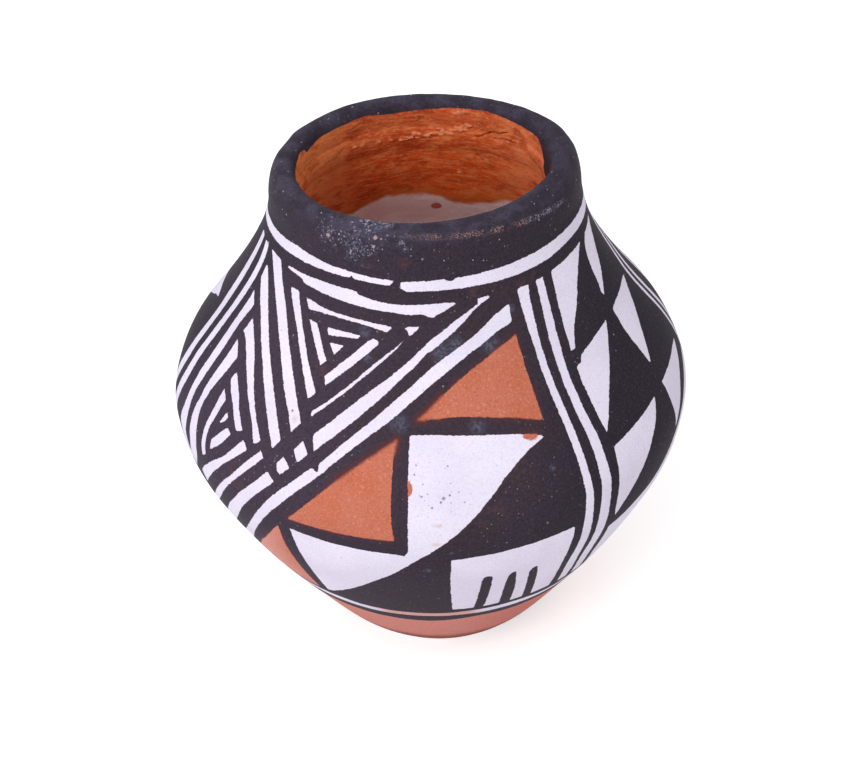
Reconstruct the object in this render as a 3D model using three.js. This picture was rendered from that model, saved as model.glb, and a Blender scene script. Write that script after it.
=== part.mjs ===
// A small hand-coiled clay olla. A flat base pat carries five wall coils and a rim coil, each lapped
// over the inside of the one below. Thin coats lie on the clay: orange on the foot, white slip on the
// body, black paint over the lip and an orange wash inside the neck.
// Millimetres, +Z up, origin on the table under the middle of the pot. The painted front faces -Y.
import * as THREE from "three";

// Driving dimensions
const BELLY_RADIUS = 38;
const BELLY_HEIGHT = 41.6;
const FOOT_RADIUS = 15.3;
const FOOT_EDGE_HEIGHT = 0.8;
const NECK_RADIUS = 23.4;
const NECK_HEIGHT = 67;
const LIP_RADIUS = 21.8;
const LIP_START_HEIGHT = 73.4;
const LIP_HEIGHT = 4.2;
const LIP_WIDTH = 3.8;
const LIP_SQUARENESS = 2.4;

const COAT = 0.3;
const WALL_AT_FOOT = 4.8;
const WALL_AT_BELLY = 4;

const RESTING_RING_OUTER = 14;
const RESTING_RING_INNER = 8.5;
const BASE_HOLLOW_DEPTH = 0.9;
const FLOOR_HEIGHT = 5.4;
const FLOOR_DIP = 0.3;
const FLOOR_FLAT_RADIUS = 7;

// The coils: how many joints there are up the wall, where the first and last lie, how far they lap,
// and how much a coil swells on the inside between its joints
const JOINT_COUNT = 6;
const FIRST_JOINT = 8;
const LAST_JOINT_BELOW_LIP = 2.2;
const LAP = 2.6;
const COIL_CROWN = 0.35;

// Where one coat meets the next, as heights above the table and steps over the lip
const FOOT_LINE_HEIGHT = 16.4;
const RIM_BAND_HEIGHT = 70.7;
const WASH_END_HEIGHT = 58;
const LIP_STEPS = 7;
const PAINTED_LIP_STEPS = 5;

// How finely the surfaces are cut
const SEGMENTS = 48;
const ROW_SPACING = 4.8;
const FLOOR_STEPS = 4;

// Out-of-round of a pot turned by hand: waves around, size and turn in degrees.
// The body's waves are shares of the radius, the rim's and the lip's are in millimetres.
const BODY_WAVES = [
  [2, 0.002, -107],
  [3, 0.005, 176],
];
const RIM_WAVES = [
  [1, 0.13, 23],
  [2, 0.29, 172],
  [3, 0.38, 46],
  [4, 0.18, -42],
];
const LIP_HEIGHT_WAVES = [
  [1, 0.3, 39],
  [3, 0.2, 40],
];
const RIM_WAVES_START = 50;
const LIP_WAVES_START = 56;

const COLOURS = {
  clay: 0xddc8bd,
  orange: 0xc97558,
  white: 0xe8e2ec,
  black: 0x332c33,
  wash: 0x9a4420,
};

// The finished outside of the pot, from the foot edge to the start of the lip, as radius and height.
// Between the driving dimensions a point is given by its shares of the way out or in, and up.
function outsideCurve() {
  const foot = new THREE.Vector2(FOOT_RADIUS, FOOT_EDGE_HEIGHT);
  const belly = new THREE.Vector2(BELLY_RADIUS, BELLY_HEIGHT);
  const neck = new THREE.Vector2(NECK_RADIUS, NECK_HEIGHT);
  const lip = new THREE.Vector2(LIP_RADIUS, LIP_START_HEIGHT);
  const between = (from, to, across, up) =>
    new THREE.Vector2(
      THREE.MathUtils.lerp(from.x, to.x, across),
      THREE.MathUtils.lerp(from.y, to.y, up),
    );
  return new THREE.SplineCurve([
    foot,
    between(foot, belly, 0.175, 0.107),
    between(foot, belly, 0.402, 0.29),
    between(foot, belly, 0.62, 0.473),
    between(foot, belly, 0.815, 0.668),
    between(foot, belly, 0.95, 0.839),
    belly,
    between(belly, neck, 0.06, 0.173),
    between(belly, neck, 0.24, 0.37),
    between(belly, neck, 0.57, 0.606),
    between(belly, neck, 0.81, 0.803),
    neck,
    between(neck, lip, 0.78, 0.6),
    lip,
  ]);
}

const OUTSIDE = outsideCurve();
OUTSIDE.arcLengthDivisions = 800;
const WALL_LENGTH = OUTSIDE.getLength();

// Length up the wall at which the outside reaches a height.
function lengthAtHeight(height) {
  let low = 0;
  let high = WALL_LENGTH;
  while (high - low > 1e-6) {
    const middle = (low + high) / 2;
    if (OUTSIDE.getPointAt(middle / WALL_LENGTH).y < height) low = middle;
    else high = middle;
  }
  return (low + high) / 2;
}

// A point in the thickness of the wall: so far up it, and so deep under the finished outside.
function inWall(length, depth) {
  const share = THREE.MathUtils.clamp(length / WALL_LENGTH, 0, 1);
  const point = OUTSIDE.getPointAt(share);
  const along = OUTSIDE.getTangentAt(share);
  return new THREE.Vector2(point.x - along.y * depth, point.y + along.x * depth);
}

// The wall thins from the foot to the belly, and a little more from there to the lip.
function wallThickness(length) {
  const belly = lengthAtHeight(BELLY_HEIGHT);
  if (length < belly) {
    return THREE.MathUtils.lerp(WALL_AT_FOOT, WALL_AT_BELLY, length / belly);
  }
  const rise = THREE.MathUtils.smoothstep(length, belly, WALL_LENGTH);
  return THREE.MathUtils.lerp(WALL_AT_BELLY, LIP_WIDTH, rise);
}

const LAST_JOINT = WALL_LENGTH - LAST_JOINT_BELOW_LIP;
const JOINTS = Array.from({ length: JOINT_COUNT }, (_, i) =>
  THREE.MathUtils.lerp(FIRST_JOINT, LAST_JOINT, i / (JOINT_COUNT - 1)),
);
const OUTER_SEAMS = JOINTS.map((joint) => joint + LAP / 2);
const INNER_SEAMS = JOINTS.map((joint) => joint - LAP / 2);

// Inside of the clay. Each coil keeps a soft crown between the seams where it was pressed down.
function crown(length) {
  const ends = [0, ...INNER_SEAMS, WALL_LENGTH];
  const above = ends.findIndex((end) => end > length);
  if (above < 1) return 0;
  const share = (length - ends[above - 1]) / (ends[above] - ends[above - 1]);
  return COIL_CROWN * Math.sin(Math.PI * share);
}

const outerFace = (length) => inWall(length, 0);
const clayOutside = (length) => inWall(length, COAT);
const clayInside = (length) => inWall(length, wallThickness(length) + crown(length) - COAT);
const innerFace = (length) => inWall(length, wallThickness(length) + crown(length));

// The lip goes on from the top of the wall, a rounded bead. A step counts from outside to inside.
function lipPoint(step, depth) {
  const angle = (Math.PI * step) / LIP_STEPS;
  const bend = (value) => Math.sign(value) * Math.abs(value) ** (2 / LIP_SQUARENESS);
  const halfWidth = LIP_WIDTH / 2;
  const across = halfWidth - bend(Math.cos(angle)) * (halfWidth - depth);
  const rise = bend(Math.sin(angle)) * (LIP_HEIGHT - depth);
  const along = OUTSIDE.getTangentAt(1);
  return inWall(WALL_LENGTH, across).add(along.multiplyScalar(rise));
}

function lipPoints(fromStep, toStep, depth) {
  const points = [];
  for (let step = fromStep; step <= toStep; step += 1) points.push(lipPoint(step, depth));
  return points;
}

// Rows of points along a face between two lengths. Every solid that meets the face has the same rows.
function stations(low, high, fixed) {
  const stops = [low, ...fixed.filter((stop) => stop > low && stop < high), high];
  const rows = [low];
  for (let i = 1; i < stops.length; i += 1) {
    const steps = Math.max(1, Math.round((stops[i] - stops[i - 1]) / ROW_SPACING));
    for (let k = 1; k <= steps; k += 1) {
      rows.push(THREE.MathUtils.lerp(stops[i - 1], stops[i], k / steps));
    }
  }
  return rows;
}

const FOOT_LINE = lengthAtHeight(FOOT_LINE_HEIGHT);
const RIM_BAND = lengthAtHeight(RIM_BAND_HEIGHT);
const WASH_END = lengthAtHeight(WASH_END_HEIGHT);
const upwards = (a, b) => a - b;
const OUTER_STOPS = [FOOT_LINE, RIM_BAND, ...OUTER_SEAMS].sort(upwards);
const INNER_STOPS = [WASH_END, ...INNER_SEAMS].sort(upwards);
const outerRows = (low, high) => stations(low, high, OUTER_STOPS);
const innerRows = (low, high) => stations(low, high, INNER_STOPS);

// Hand-made irregularity, the same for every piece at the same place.
function waves(list, turn) {
  return list.reduce(
    (sum, [around, size, phase]) =>
      sum + size * Math.cos(around * turn - THREE.MathUtils.degToRad(phase)),
    0,
  );
}

function handTurned(geometry) {
  const position = geometry.getAttribute("position");
  for (let i = 0; i < position.count; i += 1) {
    const x = position.getX(i);
    const y = position.getY(i);
    const z = position.getZ(i);
    const radius = Math.hypot(x, y);
    if (radius < 1e-9) continue;
    const turn = Math.atan2(y, x);
    const nearRim = THREE.MathUtils.smoothstep(z, RIM_WAVES_START, LIP_START_HEIGHT);
    const nearLip = THREE.MathUtils.smoothstep(z, LIP_WAVES_START, LIP_START_HEIGHT);
    const swell = 1 + waves(BODY_WAVES, turn) + (nearRim * waves(RIM_WAVES, turn)) / radius;
    position.setXYZ(i, x * swell, y * swell, z + nearLip * waves(LIP_HEIGHT_WAVES, turn));
  }
  position.needsUpdate = true;
  return geometry;
}

// A solid of revolution from a closed outline of radius and height, anticlockwise. The diagonal of
// each quad goes by which end is higher, so that two pieces that touch share one triangulated face.
function revolve(outline) {
  const points = [...outline, outline[0].clone()];
  const lathe = new THREE.LatheGeometry(points, SEGMENTS);
  const rows = points.length;
  const index = [];
  for (let i = 0; i < SEGMENTS; i += 1) {
    for (let j = 0; j < rows - 1; j += 1) {
      const a = i * rows + j;
      const b = a + rows;
      const low = points[j];
      const high = points[j + 1];
      const rising = high.y > low.y || (high.y === low.y && high.x > low.x);
      if (rising) index.push(a, b, a + 1, b + 1, a + 1, b);
      else index.push(a, b, b + 1, a, b + 1, a + 1);
    }
  }
  lathe.setIndex(index);
  lathe.rotateX(Math.PI / 2);
  handTurned(lathe);
  lathe.computeVertexNormals();
  return lathe;
}

const pot = new THREE.Group();
pot.name = "clay_olla";

function addPiece(name, outline, finish) {
  const material = new THREE.MeshStandardMaterial({
    color: COLOURS[finish],
    roughness: 0.85,
    metalness: 0,
  });
  const mesh = new THREE.Mesh(revolve(outline), material);
  mesh.name = name;
  pot.add(mesh);
}

// The base pat: a hollowed resting face, a turned-up edge and a dished floor.
function basePat() {
  const outer = outerRows(0, OUTER_SEAMS[0]).map(clayOutside);
  const seam = clayInside(INNER_SEAMS[0]);
  const dish = new THREE.QuadraticBezierCurve(
    seam,
    new THREE.Vector2(seam.x - 2.6, FLOOR_HEIGHT),
    new THREE.Vector2(FLOOR_FLAT_RADIUS, FLOOR_HEIGHT),
  );
  return [
    new THREE.Vector2(0, BASE_HOLLOW_DEPTH),
    new THREE.Vector2(RESTING_RING_INNER * 0.6, BASE_HOLLOW_DEPTH * 0.64),
    new THREE.Vector2(RESTING_RING_INNER, 0),
    new THREE.Vector2(RESTING_RING_OUTER, 0),
    ...outer,
    ...dish.getPoints(FLOOR_STEPS),
    new THREE.Vector2(0, FLOOR_HEIGHT - FLOOR_DIP),
  ];
}

// One wall coil, from the joint under it to the joint over it.
function wallCoil(under, over) {
  const outer = outerRows(OUTER_SEAMS[under], OUTER_SEAMS[over]).map(clayOutside);
  const inner = innerRows(INNER_SEAMS[under], INNER_SEAMS[over]).map(clayInside);
  return [...outer, ...inner.reverse()];
}

// The last coil, with its rounded lip.
function rimCoil() {
  const outer = outerRows(OUTER_SEAMS.at(-1), WALL_LENGTH).map(clayOutside);
  const inner = innerRows(INNER_SEAMS.at(-1), WALL_LENGTH).map(clayInside);
  return [...outer, ...lipPoints(1, LIP_STEPS - 1, COAT), ...inner.reverse()];
}

// A coat on the outside between two lengths up the wall.
function outsideCoat(low, high) {
  const rows = outerRows(low, high);
  const face = rows.map(outerFace);
  const back = rows.map(clayOutside);
  return [...face, ...back.reverse()];
}

// Black paint from the rim band up and over the lip.
function rimPaint() {
  const rows = outerRows(RIM_BAND, WALL_LENGTH);
  const face = [...rows.map(outerFace), ...lipPoints(1, PAINTED_LIP_STEPS, 0)];
  const back = [...rows.map(clayOutside), ...lipPoints(1, PAINTED_LIP_STEPS, COAT)];
  return [...face, ...back.reverse()];
}

// Orange wash from the black paint down the inside of the neck.
function innerWash() {
  const rows = innerRows(WASH_END, WALL_LENGTH);
  const back = [
    ...rows.map(clayInside),
    ...lipPoints(PAINTED_LIP_STEPS, LIP_STEPS - 1, COAT).reverse(),
  ];
  const face = [
    ...rows.map(innerFace),
    ...lipPoints(PAINTED_LIP_STEPS, LIP_STEPS - 1, 0).reverse(),
  ];
  return [...back, ...face.reverse()];
}

addPiece("base_pat", basePat(), "clay");
for (let i = 1; i < JOINT_COUNT; i += 1) {
  addPiece(`wall_coil_${i}`, wallCoil(i - 1, i), "clay");
}
addPiece("rim_coil", rimCoil(), "clay");
addPiece("foot_slip_orange", outsideCoat(0, FOOT_LINE), "orange");
addPiece("body_slip_white", outsideCoat(FOOT_LINE, RIM_BAND), "white");
addPiece("rim_paint_black", rimPaint(), "black");
addPiece("inner_wash_orange", innerWash(), "wash");

export default pot;
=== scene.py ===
# %% [markdown]
# # A small painted clay olla
# The real pot was coiled by hand, scraped, slipped in white and orange, and painted with a chewed
# yucca brush. It could be one lathe shape with a picture wrapped round it, but then its members and
# coats would be lost. Here every member that the packed model has keeps its own piece, spun finely
# from the same outline, and the painting is worked out as shapes on the surface.

# %% Load the packed model
import math
from itertools import product

import bpy
import numpy as np
from mathutils import Matrix, Vector


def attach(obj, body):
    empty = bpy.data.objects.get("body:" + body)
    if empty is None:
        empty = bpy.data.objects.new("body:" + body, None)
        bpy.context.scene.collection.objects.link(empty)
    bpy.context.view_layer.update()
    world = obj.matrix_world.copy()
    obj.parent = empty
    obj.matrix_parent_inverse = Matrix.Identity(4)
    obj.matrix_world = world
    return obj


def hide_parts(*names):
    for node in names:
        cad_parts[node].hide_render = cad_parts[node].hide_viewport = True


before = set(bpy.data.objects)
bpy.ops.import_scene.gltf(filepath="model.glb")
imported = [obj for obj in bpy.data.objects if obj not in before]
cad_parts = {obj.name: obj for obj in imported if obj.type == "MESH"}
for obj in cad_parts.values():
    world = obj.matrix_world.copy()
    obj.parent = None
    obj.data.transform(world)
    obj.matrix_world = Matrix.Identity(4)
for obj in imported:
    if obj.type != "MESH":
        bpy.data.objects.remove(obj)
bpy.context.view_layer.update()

MM = 0.001

# %% [markdown]
# The photograph looks down at the pot from close by, about 34 degrees above the table. The camera's
# place and lens were fitted to the pot's outline, its rim and its neck, so the same view is set here.

# %% Camera
CAMERA_AIM = Vector((0.246, 0, 39.06)) * MM
CAMERA_DISTANCE = 220 * MM
CAMERA_DROP = math.radians(34.48)
CAMERA_ROLL = math.radians(-2.583)
LENS = 60.24
SENSOR = 36
NEAREST_SEEN = 5 * MM

camera = bpy.data.objects.new("camera", bpy.data.cameras.new("camera"))
bpy.context.scene.collection.objects.link(camera)
camera.data.lens = LENS
camera.data.sensor_width = SENSOR
camera.data.clip_start = NEAREST_SEEN
looking = Vector((0, math.cos(CAMERA_DROP), -math.sin(CAMERA_DROP)))
across = Vector((1, 0, 0))
above = across.cross(looking)
rolled_across = math.cos(CAMERA_ROLL) * across + math.sin(CAMERA_ROLL) * above
rolled_above = math.cos(CAMERA_ROLL) * above - math.sin(CAMERA_ROLL) * across
turn = Matrix((rolled_across, rolled_above, -looking)).transposed().to_4x4()
camera.matrix_world = Matrix.Translation(CAMERA_AIM - CAMERA_DISTANCE * looking) @ turn
bpy.context.scene.camera = camera
print("camera at", [round(c / MM, 1) for c in camera.location], "mm")

# %% [markdown]
# The outline of the pot is one smooth curve from the foot, out over the belly and in to the neck.
# It could be drawn point by point, but it is given by a few driving sizes, as the packed model is:
# between two of them a point is a share of the way out or in, and a share of the way up.

# %% The sizes that drive the outline
FOOT = (15.3, 0.8)
BELLY = (38, 41.6)
NECK = (23.4, 67)
LIP = (21.8, 73.4)


def between(low, high, out, up):
    """The point that share of the way out and up from one place to another."""
    return (low[0] + (high[0] - low[0]) * out, low[1] + (high[1] - low[1]) * up)


WALL_POINTS = np.array(
    [FOOT]
    + [
        between(FOOT, BELLY, out, up)
        for out, up in ((0.175, 0.107), (0.402, 0.29), (0.62, 0.473), (0.815, 0.668), (0.95, 0.839))
    ]
    + [BELLY]
    + [
        between(BELLY, NECK, out, up)
        for out, up in ((0.06, 0.173), (0.24, 0.37), (0.57, 0.606), (0.81, 0.803))
    ]
    + [NECK, between(NECK, LIP, 0.78, 0.6), LIP]
)
print("outline through", len(WALL_POINTS), "points, from", FOOT, "to", LIP)

# %% [markdown]
# The line through these points keeps its direction where one stretch goes over into the next.
# Everything on the pot is then placed by its length up the wall and its depth under the outside,
# because that is how coils and coats lie. These helpers turn the two into radius and height.

# %% The smooth outline, by length up the wall
WALL_STEPS = 300


def smooth_line(points, steps):
    """A line that runs smoothly through the points, with that many steps between two of them."""
    points = np.asarray(points, float)
    if len(points) == 2:
        return points
    before = np.vstack([points[:1], points[:-2]])
    after = np.vstack([points[2:], points[-1:]])
    line = []
    for p0, p1, p2, p3 in zip(before, points[:-1], points[1:], after):
        for t in np.arange(steps) / steps:
            pull, push = (p2 - p0) / 2, (p3 - p1) / 2
            line.append(
                (2 * p1 - 2 * p2 + pull + push) * t**3
                + (3 * p2 - 3 * p1 - 2 * pull - push) * t**2
                + pull * t
                + p1
            )
    return np.array(line + [points[-1]])


WALL = smooth_line(WALL_POINTS, WALL_STEPS)
WALL_LENGTHS = np.concatenate([[0], np.cumsum(np.linalg.norm(np.diff(WALL, axis=0), axis=1))])
WALL_LENGTH = WALL_LENGTHS[-1]
WALL_RUN = np.gradient(WALL, WALL_LENGTHS, axis=0)
WALL_RUN /= np.linalg.norm(WALL_RUN, axis=1, keepdims=True)


def on_line(length, values):
    """The two values that belong to a length up the wall."""
    return np.stack([np.interp(length, WALL_LENGTHS, values[:, k]) for k in range(2)], -1)


def outward(length):
    """The direction out of the wall, as radius and height, at a length up the wall."""
    along = on_line(length, WALL_RUN)
    return np.stack([along[..., 1], -along[..., 0]], -1)


def in_wall(length, depth):
    """Radius and height of a point so far up the wall and so deep under its outside."""
    return on_line(length, WALL) - outward(length) * np.asarray(depth)[..., None]


def length_at(height):
    """The length up the wall at a height above the table."""
    return float(np.interp(height, WALL[:, 1], WALL_LENGTHS))


print("wall", round(WALL_LENGTH, 2), "mm from foot to lip")

# %% [markdown]
# The wall thins from the foot to the belly, and a little more to the lip. One even wall would be
# simpler, but then nothing would be left of the coils. Here every coil keeps a soft crown inside,
# between the seams where the potter pressed it down over the one below.

# %% The joints and the inside of the wall
WALL_AT_FOOT = 4.8
WALL_AT_BELLY = 4
LIP_WIDTH = 3.8
JOINT_COUNT = 6
FIRST_JOINT = 8
LAST_JOINT = WALL_LENGTH - 2.2
LAP = 2.6
COIL_CROWN = 0.35
JOINTS = np.linspace(FIRST_JOINT, LAST_JOINT, JOINT_COUNT)
OUTER_SEAMS = JOINTS + LAP / 2
INNER_SEAMS = JOINTS - LAP / 2


def smoothstep(value, low, high):
    """0 below low, 1 above high, and a soft slope between."""
    share = np.clip((value - low) / (high - low), 0, 1)
    return share * share * (3 - 2 * share)


def inside_depth(length):
    """How deep the finished inside lies under the outside."""
    belly = length_at(BELLY[1])
    thin = WALL_AT_FOOT + (WALL_AT_BELLY - WALL_AT_FOOT) * np.clip(length / belly, 0, 1)
    to_lip = (LIP_WIDTH - WALL_AT_BELLY) * smoothstep(length, belly, WALL_LENGTH)
    ends = np.concatenate([[0], INNER_SEAMS, [WALL_LENGTH]])
    above = np.clip(np.searchsorted(ends, length, side="right"), 1, len(ends) - 1)
    share = (length - ends[above - 1]) / (ends[above] - ends[above - 1])
    return thin + to_lip + COIL_CROWN * np.sin(math.pi * np.clip(share, 0, 1))


print("joints at", JOINTS.round(1), "mm up the wall")
print("wall", inside_depth(JOINTS).round(1), "mm thick there")

# %% [markdown]
# The lip is a rounded bead on top of the last coil. A half circle would look turned, so it is drawn
# a little squarer, with one formula. The lengths up the wall run on over it, so that a place on the
# lip is given by the same two numbers as a place on the wall: how far round, and how far up.

# %% The lip
LIP_HEIGHT = 4.2
LIP_SQUARENESS = 2.4
LIP_STEPS = 200


def lip_points(start, end, count, depth):
    """Points over the lip from the outside (share 0) to the inside (share 1)."""

    def bend(value):
        return np.sign(value) * np.abs(value) ** (2 / LIP_SQUARENESS)

    angle = np.linspace(start, end, count) * math.pi
    half = LIP_WIDTH / 2
    sideways = half - bend(np.cos(angle)) * (half - depth)
    rise = bend(np.sin(angle)) * (LIP_HEIGHT - depth)
    run = WALL_RUN[-1]
    return in_wall(np.full(count, WALL_LENGTH), sideways) + rise[:, None] * run


OVER_LIP = np.vstack([WALL, lip_points(0, 1, LIP_STEPS, 0)[1:]])
OVER_LIP_LENGTHS = np.concatenate(
    [[0], np.cumsum(np.linalg.norm(np.diff(OVER_LIP, axis=0), axis=1))]
)


def on_outline(turned, length):
    """Places (mm) by degrees from the front and length up the wall and on over the lip."""
    angle = np.radians(np.asarray(turned) - 90.0)
    radius, height = (np.interp(length, OVER_LIP_LENGTHS, OVER_LIP[:, k]) for k in range(2))
    return np.stack([radius * np.cos(angle), radius * np.sin(angle), height], -1)


print("top of the lip", round(float(OVER_LIP[:, 1].max()), 1), "mm above the table")

# %% [markdown]
# No pot made without a wheel is quite round. The packed model has slow waves in its radius and in the
# height of its lip, and these are repeated, so that every piece stays where its node is. Four larger
# marks are added: a flat spot at the back left of the rim with a dent beside it, a dent at the right
# of the neck, and a place at the right where the lip is thicker on its inner side.

# %% Waves, dents and the thicker lip
BODY_WAVES = ((2, 0.002, -107), (3, 0.005, 176))
RIM_WAVES = ((1, 0.13, 23), (2, 0.29, 172), (3, 0.38, 46), (4, 0.18, -42))
LIP_HEIGHT_WAVES = ((1, 0.3, 39), (3, 0.2, 40))
RIM_WAVES_START = 50
LIP_WAVES_START = 56
# Turn and height of a dent, each with its reach, and its depth.
DENTS = ((-131, 15, 80, 17, 0.6), (-110, 7, 77, 8, 0.3), (97, 17, 64.5, 5, 0.35))
# Turn, reach and depth of the place where the lip is thicker on its inner side.
THICK_LIP = (95, 15, 0.8)
# Where it grows: how far in from the middle of the lip, and at which heights.
THICK_LIP_INWARD = (0.2, 1.6)
THICK_LIP_RISE = (69, 73)


def waves(parts, turned):
    """Slow waves round the pot, each with its count, size and lag in degrees."""
    return sum(size * np.cos(count * turned - math.radians(lag)) for count, size, lag in parts)


def hand_turned(at):
    """Moves points (mm) as the uneven hand-made shape asks."""
    x, y, z = at.T
    turned = np.arctan2(y, x)
    radius = np.maximum(np.hypot(x, y), 1e-6)
    near_rim = smoothstep(z, RIM_WAVES_START, LIP[1])
    near_lip = smoothstep(z, LIP_WAVES_START, LIP[1])
    swell = 1 + waves(BODY_WAVES, turned) + near_rim * waves(RIM_WAVES, turned) / radius
    for place, reach, height, rise, depth in DENTS:
        away = (np.degrees(turned) + 270 - place) % 360 - 180
        swell -= depth * np.exp(-((away / reach) ** 2) - ((z - height) / rise) ** 2) / radius
    return np.stack([x * swell, y * swell, z + near_lip * waves(LIP_HEIGHT_WAVES, turned)], -1)


def front_turn(at):
    """How far each corner lies round the pot, in degrees from the front."""
    return np.degrees(np.arctan2(at[:, 0], -at[:, 1]))


def thicker_lip(at):
    """How much thicker the lip is on its inner side, in mm."""
    middle = in_wall(WALL_LENGTH, LIP_WIDTH / 2)
    lean = WALL_RUN[-1, 0] / WALL_RUN[-1, 1]
    inward = middle[0] + lean * (at[:, 2] - middle[1]) - np.hypot(at[:, 0], at[:, 1])
    away = (front_turn(at) - THICK_LIP[0]) / THICK_LIP[1]
    swelling = THICK_LIP[2] * np.exp(-(away**2)) * smoothstep(inward, *THICK_LIP_INWARD)
    return swelling * smoothstep(at[:, 2], *THICK_LIP_RISE)


print(len(DENTS), "dents, and a lip up to", LIP_WIDTH + THICK_LIP[2], "mm thick")

# %% [markdown]
# Finer unevenness, such as the marks of fingers and of a wet rag, comes from noise: a lattice of
# fixed values with soft slopes between them. A displace modifier could do it too, but with a texture
# for each piece. This noise is the same every time and runs on from one piece to the next.

# %% Noise for the surface of the clay
# Large odd numbers that turn a place in the lattice into a value that looks random.
PLACE_MIXERS = (73856093, 19349663, 83492791)
SEED_MIXER = 2654435761
STIRS = ((15, 2246822519), (13, 3266489917))
ALL_BITS = 0xFFFFFFFF


def unevenness(at, size, seed):
    """Smooth noise from -1 to 1 with bumps about size mm apart (one number, or three)."""
    cell = at / np.asarray(size, float)
    base = np.floor(cell).astype(np.int64)
    share = cell - base
    share = share * share * (3 - 2 * share)
    total = np.zeros(len(at))
    for corner in product((0, 1), repeat=3):
        place = base + corner
        mixed = np.bitwise_xor.reduce(place * PLACE_MIXERS, axis=1)
        mixed = (mixed ^ seed * SEED_MIXER) & ALL_BITS
        for shift, factor in STIRS:
            mixed = ((mixed ^ (mixed >> shift)) * factor) & ALL_BITS
        value = (mixed ^ (mixed >> 16)) / (ALL_BITS // 2) - 1
        weight = np.prod(np.where(corner, share, 1 - share), axis=1)
        total += weight * value
    return total


def roughness(at, noises):
    """Several noises on top of each other, each with its height, size and seed."""
    return sum(height * unevenness(at, size, seed) for height, size, seed in noises)


sample = unevenness(np.arange(300.0).reshape(100, 3), 7, 1)
print("noise from", sample.min().round(2), "to", sample.max().round(2))

# %% [markdown]
# Some marks sit at known places: pits in the white slip, and crumbs that were brushed over with the
# paint of the rim. Most of the crumbs lie in one patch, so fifty small ones are strewn there, each
# time in the same way. Each mark is a small round swelling or dent in the mesh itself.

# %% Crumbs, pits and the relief of the outside
# Turn from the front, length up the wall and width of the pits in the slip.
PITS = ((1.4, 52.5, 0.42), (2.6, 52.9, 0.28), (0.8, 52, 0.28), (5.5, 51.8, 0.24), (-4, 56.9, 0.24),
        (-4.4, 55.7, 0.22), (-3, 52.8, 0.26), (-1, 51.3, 0.26), (2.6, 56.7, 0.22), (-21, 40.6, 0.2),
        (-35, 61.2, 0.3))
# The same for crumbs that were brushed over with the paint of the rim, most of them in one place.
CRUMBS = [(-34.5, 85.5, 0.4), (-31.5, 84.6, 0.3), (-16.5, 86.4, 0.42), (-17, 85.4, 0.3),
          (-7, 86, 0.36), (-22.5, 87.1, 0.26), (-25, 84.1, 0.3), (5.5, 85.6, 0.24),
          (20, 86.4, 0.26), (6, 86.9, 0.2), (54.5, 86.7, 0.26), (161.5, 91.35, 0.5),
          (159, 91.15, 0.45), (157, 91.05, 0.35), (163.5, 91.6, 0.35), (164.5, 92.1, 0.25),
          (159, 92, 0.25), (161.5, 92.2, 0.2)]
STREWN = 50
chance = np.random.default_rng(6)
for turned, length, size in zip(
    chance.normal(-28, 9, STREWN), chance.normal(85.7, 1.1, STREWN), chance.uniform(0.12, 0.28, STREWN)
):
    CRUMBS.append((turned, length, size))
# Their height and depth, and how soon they fall off, as shares of their width.
CRUMB_HEIGHT, PIT_DEPTH, FALL_OFF = 0.55, 0.5, 0.7
# Height, size and seed of the noises of the scraped wall and of the wiped lip.
SCRAPED = ((0.05, 9, 1), (0.02, 3.1, 2))
WIPED = ((0.09, 5.5, 3), (0.045, 1.7, 4), (0.018, 0.8, 5))
WIPED_HEIGHTS = (70, 76)


def swellings(at, marks, height):
    """Small round swellings at the marks, as high as that share of their width."""
    total = np.zeros(len(at))
    for turned, length, size in marks:
        away = np.linalg.norm(at - on_outline(turned, length), axis=1)
        total += height * size * np.exp(-((away / (FALL_OFF * size)) ** 2))
    return total


def outer_relief(at):
    """Dents and swells of the outside, in mm along the way out of the clay, and the lumps alone."""
    near_lip = smoothstep(at[:, 2], *WIPED_HEIGHTS)
    surface = roughness(at, SCRAPED) * (1 - near_lip) + roughness(at, WIPED) * near_lip
    lumps = swellings(at, CRUMBS, CRUMB_HEIGHT) - swellings(at, PITS, PIT_DEPTH)
    return surface + lumps + thicker_lip(at), lumps


print(len(CRUMBS), "crumbs on the rim,", len(PITS), "pits in the slip")

# %% [markdown]
# The seam under the rim coil was never closed on the inside. At the back it shows as a row of clay
# crumbs with a groove below, and to the right of them it gapes in two long cracks and a short one. A
# bump in the finish would leave the mesh smooth, so the cracks and the crumbs are cut into the inside
# itself.

# %% The inside of the neck
# Lines of turn from the back, in degrees, and height, in mm. A crack also has a depth.
CRUMB_LINE = ((-36, 71.7), (-12, 71.3), (-5, 71.55), (2, 71.7), (11, 72.1), (18, 72.7), (23, 73.5))
CRACKS = ((0.34, ((24, 71.85), (29, 72.1), (32, 72.55), (35, 73), (40, 73.1), (43, 73.4), (48, 73.9))),
          (0.26, ((34, 72), (40, 72.35), (46.5, 72.35), (54, 72.1))),
          (0.16, ((-14, 70.9), (-4, 71.1), (2, 71.2), (7, 71.4), (14, 71.7))),
          (0.2, ((33, 70.5), (36, 70.3), (39, 70.6), (44, 70.7))))
CRACK_HALF_WIDTH = 0.11
CRACK_WANDER = ((0.16, 1.2, 16),)
# Over how many degrees a crack opens and closes.
CRACK_OPENS, CRACK_CLOSES = 4, 6
inner_crumbs = [(-13, 66.4, 0.25), (-8, 66.2, 0.2), (-5.5, 65.4, 0.28), (3, 65.7, 0.22),
                (12, 66.8, 0.25), (16.5, 64.9, 0.3), (17.5, 64.4, 0.2)]
for place in np.concatenate([chance.uniform(-36, -12, 8), chance.uniform(-12, 24, 64)]):
    height = np.interp(place, *np.array(CRUMB_LINE).T) + chance.normal(0, 0.28)
    inner_crumbs.append((place, height, chance.uniform(0.14, 0.36)))
RAGGED = ((0.5, 0.4, 18),)
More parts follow.
